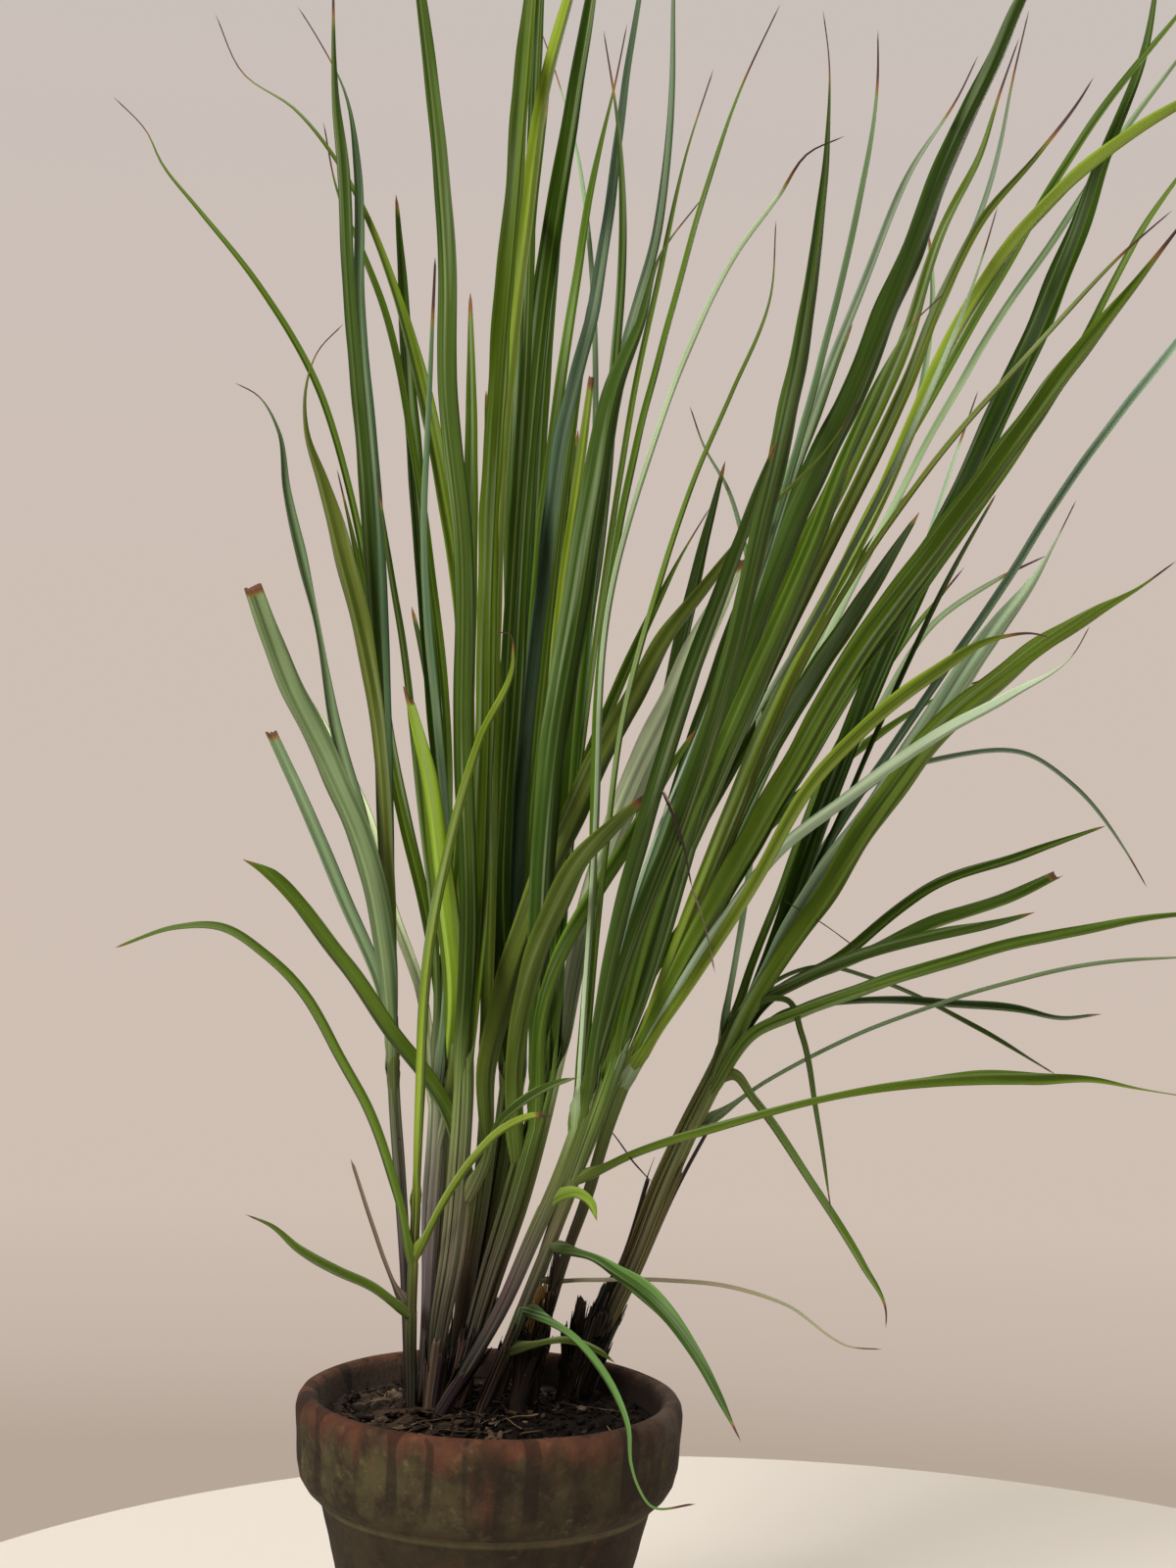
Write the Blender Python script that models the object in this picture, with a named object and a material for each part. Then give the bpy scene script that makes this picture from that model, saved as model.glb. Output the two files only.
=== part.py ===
"""Potted lemongrass: a terracotta pot, its soil, fifteen leafy stems and three old stubs.

Units are metres, +Z up, +X to the right and +Y away as the plant is usually looked at. The origin is
the centre of the pot's flat foot. Stems and leaves are laid out in millimetres in an upright plane
through the pot's axis, as they look from the front, and each one then gets its depth.
"""

import math

import bmesh
import bpy
import numpy as np
from mathutils import Vector

MM = 0.001

# Driving sizes of the pot, in millimetres
POT_HEIGHT = 180.0
RIM_RADIUS = 98.5
BAND_BOTTOM_HEIGHT = 129.0
BODY_TOP_RADIUS = 84.0
FOOT_RADIUS = 53.0
FLOOR_THICKNESS = 12.0
FLOOR_RADIUS = 47.0
LIP_INNER_RADIUS = 87.2
LIP_INNER_HEIGHT = 173.0
POT_SIDES = 48
DRAIN_HOLE_RADIUS = 4.5
DRAIN_HOLE_CIRCLE = 25.0
DRAIN_HOLES = 3

# Soil, in millimetres
SOIL_LEVEL = 166.0
SEAT_GAP = 0.35
SOIL_RINGS = (70.0, 55.0, 40.0, 25.0, 10.0)
CLUMP_CENTRE = (-18.0, 8.0)
CLUMP_RISE = 4.5
CLUMP_SPREAD = 34.0

# Where the plant is looked at from, in millimetres, and how far its plane leans to the right
EYE = np.array((39.2, -1250.0, 491.0))
PLANE_LEAN = math.radians(2.0)

# Stems and leaves, in millimetres
STEM_SIDES = 8
STEM_RINGS = 9
STEM_FLATNESS = 0.78
STEM_ROOT = 24.0
LEAF_SAMPLES = 64
LEAF_RING_SPACING = 72.0
LEAF_THICKNESS = 1.2
LEAF_FOLD = 0.34
LEAF_LEAN_POWER = 1.15
LEAF_LEAST_HALF_WIDTH = 0.45
LEAF_WIDTH_AT_STEM = 0.6
STEM_SAMPLES = 20

# How far leaves are turned out of the upright plane, in degrees: where they leave the stem, how much
# that differs, the same at the tip, how much more where a leaf lies flat, and the most
TURN_AT_STEM = 8.0
TURN_AT_STEM_SPREAD = 20.0
TURN_AT_TIP = 12.0
TURN_AT_TIP_SPREAD = 34.0
TURN_WHERE_FLAT = 34.0
MOST_TURN = 60.0

# Keeping neighbouring leaves apart, in millimetres
CLEARANCE = 1.8
OWN_CLEARANCE = 0.6
NEIGHBOUR_REACH = 5.0
OUTER_SHARE = 0.3
SETTLE_ROUNDS = 240
PUSH_GAIN = 1.2
PUSH_SMOOTHING = 16
HELD_LENGTH = 42.0

LEAF_GREEN = (0.105, 0.190, 0.035)
DRY_BROWN = (0.055, 0.038, 0.022)
TERRACOTTA = (0.290, 0.120, 0.062)
DARK_SOIL = (0.018, 0.012, 0.008)

# How unevenly the old stubs broke off, in millimetres
STUB_BREAK = 6.5

# Old stubs: depth, then (across, up from the rim, width) from the soil to the broken top
STUBS = {
    "stub_1": (4, [(14, -7, 7), (20, 24, 7), (26, 53, 7)]),
    "stub_2": (15, [(22, -7, 4), (28, 30, 4), (34, 69, 3.5)]),
    "stub_3": (30, [(37, -3, 6), (41, 12, 6), (47, 46, 5)]),
}

# Dead sheath scraps fused round the foot of the thick stem: turn, height and width of each, and the
# rings of one: share of its height, distance from the stem's axis, share of its width
OLD_SHEATH_THICKNESS = 0.6
OLD_SHEATH_RINGS = ((0.0, 4.5, 0.8), (0.45, 8.6, 1.0), (0.8, 9.8, 0.7), (1.0, 10.6, 0.3))
OLD_SHEATHS = ((200, 40, 11), (262, 54, 9), (310, 34, 12), (20, 46, 10), (105, 38, 12))

# Leafy stems: depth at the soil and at the top, then the stem as (across, up, width) from the soil
# up, then its leaves: height where it leaves the stem, lean to the back (+) or to the front (-) at
# its tip, and its line from stem to tip as (across, up, width)
TILLERS = {
    "tiller_01": ((12, 22),
        [(-41, -10, 5.5), (-43, 60, 6), (-46, 110, 6.5), (-49, 154, 6), (-50, 190, 6)], [
        (180, 70, [(-55, 310, 4.5), (-62, 410, 4), (-72, 460, 3.5), (-88, 512, 3.5),
         (-118, 564, 3), (-150, 604, 2), (-168, 627, 1.5), (-175, 642, 1), (-192, 660, 1)]),
        (170, -40, [(-52, 230, 6), (-58, 360, 6.5), (-64, 460, 6.5), (-72, 560, 6.5),
         (-76, 630, 6), (-79, 660, 4), (-80, 710, 2), (-80, 730, 1)]),
        (174, 40, [(-51, 240, 5), (-58, 450, 6), (-67, 560, 5.5), (-68, 624, 4),
         (-74, 662, 1.5), (-88, 690, 1), (-98, 706, 1)]),
        (164, -70, [(-54, 224, 11), (-63, 270, 12.5), (-82, 317, 12.5), (-102, 357, 12),
         (-122, 410, 9)]),
        (154, 110, [(-54, 200, 6), (-74, 250, 7), (-91, 290, 6.5), (-112, 336, 5.5)]),
        (172, 90, [(-54, 224, 6.5), (-66, 290, 8), (-78, 334, 6.5), (-89, 394, 3),
         (-96, 424, 5.5), (-104, 460, 4), (-108, 490, 2), (-119, 508, 1), (-130, 514, 1)]),
        (160, -60, [(-52, 260, 6), (-59, 350, 8), (-69, 400, 10), (-76, 427, 10), (-86, 464, 6),
         (-94, 490, 2.5), (-94, 512, 1.5), (-88, 530, 1), (-75, 544, 1)]),
    ]),
    "tiller_02": ((0, -16),
        [(-40, -10, 5.5), (-40, 44, 5.5), (-38, 90, 5), (-36, 134, 4.5), (-34, 164, 4)], [
        (90, -60, [(-36, 144, 4.5), (-31, 224, 5.5), (-19, 284, 5), (-5, 332, 4),
         (12, 374, 2.5), (10, 386, 1), (2, 387, 1)]),
        (64, -110, [(-48, 102, 4.5), (-62, 142, 5), (-78, 172, 5), (-95, 202, 5),
         (-115, 222, 4.5), (-138, 236, 4), (-160, 236, 2.5), (-191, 226, 1)]),
        (38, -40, [(-56, 50, 4.5), (-78, 61, 5), (-98, 72, 4), (-112, 84, 2), (-125, 90, 1)]),
        (40, 20, [(-50, 57, 2), (-60, 84, 2), (-71, 118, 1.5)]),
        (67, -60, [(-30, 84, 3.5), (-20, 102, 4), (-7, 120, 4), (8, 134, 4), (22, 140, 3),
         (32, 140, 1.5)]),
    ]),
    "tiller_03": ((9, 14),
        [(-35, -10, 6), (-32, 40, 7), (-30, 90, 10), (-27, 134, 10), (-26, 174, 9)], [
        (160, 60, [(-19, 230, 7), (-12, 320, 8), (-15, 400, 8), (-24, 460, 8), (-34, 510, 8),
         (-48, 560, 4.5), (-62, 597, 3), (-78, 627, 2), (-100, 654, 1.5), (-126, 672, 1), (-140, 702, 1)]),
        (164, 110, [(-22, 260, 4), (-22, 340, 4), (-29, 410, 4), (-40, 484, 3.5),
         (-52, 544, 3.5), (-64, 578, 3), (-78, 612, 1.5), (-85, 647, 1)]),
        (154, -30, [(-21, 260, 4), (-26, 330, 4), (-32, 390, 4), (-34, 434, 3.5),
         (-31, 510, 2.5), (-28, 578, 1)]),
        (164, -50, [(-27, 220, 3.5), (-35, 294, 3.5), (-45, 384, 3.5), (-51, 420, 3),
         (-58, 470, 1)]),
        (130, -36, [(-19, 200, 11), (-25, 260, 11.5), (-32, 314, 8.5), (-42, 356, 3.5)]),
        (124, -20, [(-16, 180, 8), (-18, 214, 9), (-19, 244, 8), (-20, 270, 1)]),
        (144, 30, [(-13, 194, 6.5), (-12, 230, 7), (-11, 274, 2.5)]),
        (144, 130, [(-35, 204, 5.5), (-50, 244, 6), (-64, 294, 6), (-85, 337, 5.5),
         (-96, 357, 2)]),
    ]),
    "tiller_04": ((-2, -10),
        [(-30, -10, 8), (-26, 30, 10), (-19, 70, 12.5), (-15, 110, 13), (-12, 160, 12), (-12, 184, 10)], [
        (154, -50, [(-11, 230, 9), (-14, 334, 10), (-14, 430, 10), (-22, 510, 10),
         (-22, 570, 9.5), (-26, 630, 8), (-34, 700, 6), (-42, 760, 1.5)]),
        (164, 40, [(-6, 230, 9), (-2, 330, 10), (0, 430, 10), (5, 520, 10), (13, 614, 9),
         (20, 700, 7), (24, 744, 1.5)]),
        (97, -52, [(-7, 114, 3.5), (4, 138, 4), (16, 148, 4), (31, 156, 3), (45, 160, 1)]),
    ]),
    "tiller_05": ((13, 26),
        [(-24, -10, 7), (-16, 27, 9), (-10, 70, 10), (-5, 104, 11), (-2, 140, 11), (-1, 170, 10)], [
        (164, 110, [(3, 260, 6), (11, 410, 6), (18, 520, 6), (22, 640, 5.5), (26, 720, 4.5),
         (28, 750, 1.5)]),
        (160, -20, [(0, 244, 7), (2, 384, 8), (8, 504, 8), (17, 584, 7.5), (28, 664, 6.5),
         (41, 712, 5), (48, 737, 1.5)]),
        (120, -120, [(-3, 164, 10), (5, 194, 12), (21, 242, 13), (42, 292, 13), (68, 344, 11),
         (95, 390, 8), (118, 420, 5), (141, 448, 2.5), (170, 478, 1), (190, 507, 1)]),
        (97, -90, [(-22, 146, 7.5), (-50, 182, 8), (-75, 218, 8), (-98, 247, 7),
         (-117, 266, 5), (-126, 271, 2)]),
    ]),
    "tiller_06": ((15, 48),
        [(-15, -10, 7), (-9, 34, 9), (0, 74, 10), (7, 114, 11), (12, 150, 10), (16, 184, 9)], [
        (160, 30, [(6, 260, 11), (12, 360, 12), (18, 460, 12), (28, 562, 11), (43, 657, 8),
         (52, 710, 5.5), (57, 744, 1.5)]),
        (150, 150, [(30, 280, 3), (49, 410, 3), (54, 510, 3), (51, 584, 2.5), (44, 634, 2),
         (33, 674, 1), (26, 694, 1)]),
        (154, 80, [(15, 284, 7), (30, 430, 7.5), (38, 490, 7.5), (53, 550, 6.5), (63, 614, 5),
         (70, 670, 3.5), (78, 720, 2), (81, 740, 1)]),
        (164, 140, [(18, 300, 5.5), (28, 450, 5.5), (36, 510, 5.5), (44, 564, 4.5),
         (54, 624, 3), (64, 667, 1.5), (70, 697, 1)]),
        (170, 170, [(11, 260, 7.5), (20, 360, 9), (24, 460, 8.5), (30, 544, 6), (36, 594, 1.5)]),
    ]),
    "tiller_07": ((1, -4),
        [(-19, -10, 8), (-10, 22, 10), (1, 60, 12), (12, 94, 14), (22, 130, 14), (31, 164, 12)], [
        (154, 40, [(36, 270, 6), (46, 364, 6), (56, 434, 6), (64, 524, 5), (68, 590, 4),
         (66, 640, 2.5), (58, 694, 1)]),
        (160, 90, [(39, 280, 7), (52, 410, 7), (60, 484, 7), (72, 540, 6), (84, 582, 5),
         (92, 644, 3.5), (94, 722, 1.5)]),
        (160, 130, [(45, 310, 3), (61, 430, 3), (74, 510, 3), (89, 580, 2.5), (100, 630, 1.5),
         (114, 674, 1)]),
        (150, -40, [(28, 260, 5), (36, 400, 5), (46, 470, 5), (52, 517, 3)]),
        (144, -80, [(26, 240, 12), (33, 330, 14), (45, 402, 15), (54, 460, 14), (64, 512, 10),
         (78, 547, 4.5), (86, 577, 2), (108, 608, 1)]),
        (114, -100, [(15, 172, 9.5), (22, 214, 11), (37, 251, 12), (50, 274, 10), (70, 294, 6),
         (90, 310, 1.5)]),
        (134, -60, [(30, 204, 7), (46, 240, 8), (68, 274, 7.5), (88, 310, 5), (105, 337, 1.5)]),
        (160, 160, [(50, 244, 11), (74, 310, 14), (98, 360, 14), (114, 394, 11), (128, 424, 5)]),
        (170, 10, [(35, 234, 9), (42, 334, 10), (50, 410, 9), (58, 470, 5), (62, 502, 1.5)]),
        (174, 120, [(30, 210, 8), (34, 310, 9), (39, 384, 8), (42, 450, 4), (45, 490, 1.5)]),
    ]),
    "tiller_08": ((-12, -44),
        [(-26, -13, 6.5), (-11, 12, 7.5), (6, 42, 8.5), (22, 78, 9), (36, 110, 9), (48, 144, 8)], [
        (130, -110, [(52, 244, 4), (56, 364, 4), (65, 434, 4), (78, 494, 3.5), (94, 554, 3),
         (110, 612, 2.5), (128, 664, 1.5), (148, 707, 1)]),
        (134, -150, [(54, 284, 3), (62, 407, 3), (86, 490, 3), (104, 537, 3), (126, 580, 2.5),
         (148, 610, 2.5), (162, 631, 1.5), (181, 640, 1)]),
        (140, -60, [(59, 274, 3), (69, 347, 3), (86, 410, 3), (104, 464, 2.5), (124, 510, 2),
         (143, 557, 1.5), (146, 597, 1)]),
        (134, -90, [(70, 220, 8), (102, 304, 10), (121, 364, 10), (140, 444, 10),
         (155, 510, 10), (165, 570, 6.5), (172, 634, 3), (173, 680, 1), (170, 704, 1)]),
        (140, -30, [(80, 260, 4), (119, 364, 4), (151, 460, 4), (169, 524, 3.5), (186, 594, 3),
         (198, 670, 2), (198, 694, 1)]),
        (144, 20, [(75, 250, 5), (118, 360, 5.5), (156, 474, 6), (170, 512, 5), (192, 567, 4),
         (216, 624, 3), (240, 662, 1.5), (249, 681, 1)]),
        (92, -14, [(35, 98, 4), (44, 100, 4.5), (50, 96, 4.5), (54, 86, 1.5)]),
        (144, -140, [(64, 230, 8), (84, 304, 9), (103, 364, 9), (124, 422, 7), (146, 484, 1.5)]),
    ]),
    "tiller_09": ((-3, -20),
        [(-5, -10, 6.5), (8, 20, 7), (20, 50, 7), (33, 82, 7), (45, 114, 7), (56, 144, 8),
         (67, 174, 9)], [
        (160, -70, [(80, 214, 12), (109, 310, 14), (135, 390, 14), (161, 456, 14),
         (187, 512, 13), (211, 570, 12), (237, 634, 10), (258, 677, 8), (274, 714, 5.5), (289, 744, 1.5)]),
        (164, 20, [(95, 260, 8.5), (150, 404, 10), (200, 507, 9.5), (213, 537, 7),
         (231, 592, 4.5), (250, 630, 3.5), (261, 664, 2), (270, 690, 1)]),
        (160, -110, [(85, 250, 6), (125, 344, 7), (165, 434, 7), (182, 477, 6.5),
         (202, 520, 4.5), (214, 542, 1.5), (232, 560, 1)]),
        (164, 60, [(100, 270, 6), (165, 414, 7), (212, 510, 7), (232, 560, 5), (252, 598, 4),
         (280, 631, 3), (302, 660, 2), (308, 670, 1)]),
        (170, 120, [(100, 284, 3), (190, 470, 3), (235, 564, 3), (255, 614, 2.5),
         (268, 674, 1.5), (275, 704, 1)]),
        (170, 90, [(95, 270, 2.5), (175, 410, 3), (235, 534, 2.5), (251, 577, 1.5), (259, 604, 1)]),
        (107, -50, [(80, 123, 4), (110, 132, 4.5), (160, 146, 3.5), (190, 152, 3.5),
         (220, 156, 5), (250, 158, 7), (280, 158, 6), (308, 158, 2.5), (330, 154, 1), (368, 148, 1)]),
        (74, -90, [(50, 69, 3.5), (65, 60, 7), (76, 53, 9.5), (91, 38, 8), (104, 20, 6),
         (116, -2, 4), (128, -26, 1)]),
        (42, -120, [(30, 36, 3), (52, 17, 4), (63, 0, 4), (70, -18, 4), (72, -38, 3),
         (75, -48, 2), (82, -59, 1.5), (105, -58, 1)]),
        (20, -12, [(22, 24, 2.5), (40, 25, 3.5), (55, 20, 3), (64, 14, 1)]),
        (164, -20, [(82, 230, 9), (111, 300, 10), (141, 370, 10), (166, 430, 8), (184, 474, 1.5)]),
        (154, 150, [(75, 220, 7), (96, 280, 8), (120, 340, 7), (138, 384, 1.5)]),
    ]),
    "tiller_10": ((24, 40),
        [(12, -8, 5.5), (28, 34, 5.5), (39, 70, 5.5), (49, 97, 6), (60, 134, 6.5), (74, 170, 8),
         (82, 190, 9)], [
        (164, -30, [(102, 244, 6), (150, 360, 7), (202, 460, 7), (228, 520, 7), (256, 570, 7),
         (290, 610, 6.5), (330, 642, 5.5), (375, 668, 3), (395, 678, 1)]),
        (170, 100, [(120, 280, 4), (190, 440, 4), (260, 567, 4), (286, 612, 4),
         (315, 656, 3.5), (350, 700, 2), (366, 720, 1)]),
        (170, 140, [(125, 280, 3.5), (190, 420, 3.5), (238, 510, 3.5), (260, 547, 3.5),
         (290, 590, 3.5), (325, 644, 3), (365, 697, 1)]),
        (164, -90, [(118, 270, 3), (165, 380, 3), (205, 444, 3), (232, 480, 3), (280, 534, 2.5),
         (325, 582, 2), (348, 602, 1)]),
        (174, 60, [(140, 300, 3.5), (225, 414, 3.5), (289, 510, 3.5), (316, 560, 3.5),
         (332, 590, 3), (362, 634, 1)]),
        (164, -120, [(102, 224, 10), (150, 310, 12), (192, 382, 12.5), (231, 434, 12.5),
         (268, 484, 12), (300, 527, 9), (329, 564, 5), (362, 607, 1)]),
        (160, -150, [(130, 250, 6), (170, 316, 7), (192, 338, 7), (225, 364, 7), (260, 384, 3),
         (278, 386, 1.5), (286, 384, 1)]),
        (154, -60, [(118, 237, 6), (150, 277, 6), (185, 304, 6), (225, 332, 6), (265, 354, 4.5),
         (298, 376, 1), (306, 390, 1)]),
        (174, 180, [(120, 280, 3), (180, 410, 3), (220, 510, 3), (226, 560, 2.5), (224, 590, 1)]),
        (170, 20, [(105, 240, 9), (134, 310, 10), (166, 364, 10), (196, 410, 7.5),
         (219, 448, 1.5)]),
        (160, 80, [(108, 230, 7), (145, 294, 8), (185, 360, 7), (226, 426, 1.5)]),
    ]),
    "tiller_11": ((22, 50),
        [(2, -8, 3.5), (20, 40, 3.5), (32, 74, 3.5), (41, 97, 3)], [
        (56, -30, [(50, 56, 2), (90, 56, 2), (120, 53, 2), (150, 44, 1.5), (185, 22, 1),
         (200, 21, 1)]),
        (90, 60, [(56, 134, 2.5), (75, 180, 2.5), (88, 210, 1.5), (95, 228, 1)]),
    ]),
    "tiller_12": ((52, 84),
        [(46, 0, 17), (56, 30, 16.5), (72, 64, 15.5), (89, 107, 16), (103, 137, 15), (118, 167, 14),
         (126, 187, 12)], [
        (170, 60, [(144, 224, 9), (172, 300, 10.5), (202, 374, 12), (240, 454, 12),
         (277, 534, 12), (298, 584, 11), (315, 632, 6.5), (334, 682, 4), (342, 730, 1)]),
        (174, 150, [(134, 290, 3), (135, 400, 2.5), (129, 434, 2.5), (121, 460, 2),
         (109, 482, 1.5), (102, 502, 1)]),
        (170, 130, [(160, 257, 4), (215, 342, 4), (258, 404, 4), (302, 472, 4),
         (350, 534, 3.5), (382, 574, 1)]),
        (180, 110, [(165, 280, 2.5), (210, 390, 2.5), (231, 457, 2), (249, 510, 1)]),
        (174, 20, [(170, 274, 2.5), (215, 374, 2.5), (232, 410, 2.5), (258, 457, 1)]),
        (170, -20, [(165, 252, 12), (202, 302, 13.5), (225, 337, 13.5), (242, 364, 12),
         (260, 390, 9.5), (276, 411, 5), (288, 432, 1.5), (299, 454, 1)]),
        (180, 180, [(150, 257, 3), (195, 342, 3), (230, 394, 3), (260, 414, 2.5), (284, 426, 1)]),
        (174, 70, [(145, 244, 4), (180, 332, 4), (212, 382, 3), (242, 420, 1)]),
        (154, -60, [(135, 200, 8), (170, 250, 11), (202, 300, 12.5), (235, 342, 12.5),
         (270, 370, 10), (310, 397, 6), (329, 408, 2.5), (350, 423, 1)]),
        (180, 150, [(165, 270, 2), (200, 312, 2), (230, 322, 2), (275, 324, 2), (298, 308, 2),
         (325, 274, 1.5), (335, 257, 1)]),
        (164, 40, [(145, 202, 5), (175, 218, 5.5), (225, 256, 5), (275, 274, 4), (314, 288, 1)]),
        (154, 100, [(150, 204, 5), (178, 216, 5.5), (225, 237, 5.5), (272, 254, 5.5),
         (290, 263, 4)]),
        (160, -30, [(130, 190, 6), (155, 206, 6), (198, 224, 6), (250, 236, 4.5), (278, 244, 1)]),
        (152, -80, [(135, 184, 6), (160, 194, 6.5), (202, 208, 6.5), (250, 223, 6),
         (300, 234, 5), (345, 242, 2.5), (370, 244, 1)]),
        (134, 60, [(135, 156, 2), (162, 170, 2), (232, 198, 2), (305, 217, 2), (368, 222, 1)]),
        (170, 130, [(150, 194, 2), (178, 198, 2.5), (200, 199, 3.5), (232, 197, 4),
         (270, 194, 3.5), (292, 190, 2), (312, 192, 1)]),
        (180, 170, [(145, 208, 2), (168, 216, 2), (195, 210, 2), (250, 184, 2), (289, 161, 1)]),
        (174, -60, [(140, 198, 3), (151, 198, 3), (158, 182, 3), (166, 144, 2.5), (174, 92, 1)]),
        (154, -100, [(124, 160, 3), (134, 148, 4), (160, 111, 4), (190, 64, 3.5),
         (202, 40, 1.5), (202, 32, 1)]),
    ]),
    "tiller_13": ((24, 80),
        [(-30, -8, 6), (-27, 40, 7.5), (-25, 90, 8.5), (-22, 140, 8), (-19, 180, 7)], [
        (160, 150, [(-22, 260, 7), (-30, 360, 8), (-38, 460, 8), (-44, 544, 6), (-48, 610, 1.5)]),
        (170, 190, [(-15, 270, 6), (-10, 390, 7), (-9, 494, 6), (-10, 560, 1.5)]),
        (154, 110, [(-30, 230, 6), (-48, 310, 7), (-60, 380, 6), (-69, 430, 3), (-78, 470, 1)]),
        (150, 200, [(-19, 240, 6), (-24, 310, 6.5), (-32, 364, 4), (-40, 400, 1.5)]),
    ]),
    "tiller_14": ((27, 100),
        [(-16, -6, 6), (-8, 40, 7.5), (-1, 84, 8.5), (5, 130, 8), (10, 170, 7)], [
        (160, 170, [(10, 270, 8), (12, 390, 9), (15, 510, 8.5), (22, 604, 6), (30, 664, 1.5)]),
        (170, 210, [(18, 270, 7), (30, 390, 7.5), (42, 494, 6), (52, 560, 1.5)]),
        (154, 130, [(6, 250, 6), (2, 350, 7), (0, 440, 6), (-2, 510, 1.5)]),
        (150, 220, [(22, 230, 5), (50, 320, 6), (80, 390, 4.5), (100, 430, 1.5), (112, 450, 1)]),
    ]),
    "tiller_15": ((36, 96),
        [(4, -4, 5.5), (18, 40, 7), (31, 80, 8), (44, 120, 7.5), (56, 160, 7)], [
        (160, 160, [(75, 234, 8), (105, 330, 9), (135, 414, 8.5), (165, 494, 6), (185, 544, 1.5)]),
        (164, 200, [(80, 230, 7), (125, 320, 8), (175, 400, 7), (215, 460, 1.5)]),
        (154, 120, [(65, 230, 7), (85, 320, 8), (102, 400, 7), (120, 474, 1.5)]),
        (144, 220, [(82, 210, 5), (135, 280, 6), (185, 324, 5), (230, 354, 1.5), (255, 364, 1)]),
    ]),
}


def smooth_line(points, count):
    """Evenly spaced samples of the smooth curve through (across, up, width) points."""
    points = np.array(points, float)
    steps = np.hypot(np.diff(points[:, 0]), np.diff(points[:, 1]))
    along = np.concatenate(([0.0], np.cumsum(steps)))
    slopes = np.gradient(points, along, axis=0)
    spots = np.linspace(0.0, along[-1], count)
    start = np.clip(np.searchsorted(along, spots, side="right") - 1, 0, len(steps) - 1)
    span = along[start + 1] - along[start]
    part = ((spots - along[start]) / span)[:, None]
    span = span[:, None]
    curve = (points[start] * (2 * part**3 - 3 * part**2 + 1)
             + slopes[start] * span * (part**3 - 2 * part**2 + part)
             + points[start + 1] * (3 * part**2 - 2 * part**3)
             + slopes[start + 1] * span * (part**3 - part**2))
    return curve, spots


def in_space(plane, depth):
    """Points of the upright plane, carried along their sight lines to their depths."""
    across, up = plane[:, 0], plane[:, 1]
    lean_cos, lean_sin = math.cos(PLANE_LEAN), math.sin(PLANE_LEAN)
    flat = np.stack((across * lean_cos - up * lean_sin,
                     np.zeros(len(plane)),
                     POT_HEIGHT + across * lean_sin + up * lean_cos), axis=1)
    reach = (depth - EYE[1]) / -EYE[1]
    return EYE + (flat - EYE) * reach[:, None]


def stem_line(depths, points):
    """The samples of a stem above the soil: plane points with widths, and depths."""
    line, along = smooth_line(points, STEM_SAMPLES)
    return line, depths[0] + (depths[1] - depths[0]) * along / along[-1]


def spread_value(number, step):
    """A number between 0 and 1 that differs from leaf to leaf."""
    return (number * step) % 1.0


def leaf_turn(number, line, share):
    """How far a leaf is turned out of the upright plane along its length, in radians."""
    first = TURN_AT_STEM + TURN_AT_STEM_SPREAD * spread_value(number, 0.6180)
    last = TURN_AT_TIP + TURN_AT_TIP_SPREAD * spread_value(number, 0.7549)
    run = np.gradient(line[:, 0], axis=0)
    rise = np.gradient(line[:, 1], axis=0)
    flat = np.abs(run) / np.hypot(run, rise)
    flat = np.convolve(np.pad(flat, 6, mode="edge"), np.ones(13) / 13, mode="valid")
    return np.radians(np.minimum(first + (last - first) * share + TURN_WHERE_FLAT * flat, MOST_TURN))


def lay_out_leaves():
    """Every leaf's tiller, plane line, depths and turn, before they are kept apart."""
    leaves = []
    for name, (depths, stem, rows) in TILLERS.items():
        line, stem_depth = stem_line(depths, stem)
        for join, lean, points in rows:
            root_depth = np.interp(join, line[:, 1], stem_depth)
            root_width = min(LEAF_WIDTH_AT_STEM * np.interp(join, line[:, 1], line[:, 2]), points[0][2])
            root = (np.interp(join, line[:, 1], line[:, 0]), join, root_width)
            leaf, along = smooth_line([root] + points, LEAF_SAMPLES)
            share = along / along[-1]
            turn = leaf_turn(len(leaves), leaf, share)
            half = np.maximum(leaf[:, 2] / 2.0, LEAF_LEAST_HALF_WIDTH) / np.cos(turn)
            leaves.append({
                "tiller": name,
                "lean": lean,
                "line": leaf,
                "along": along,
                "depth": root_depth + lean * share**LEAF_LEAN_POWER,
                "turn": turn,
                "half": half,
            })
    return leaves


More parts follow.
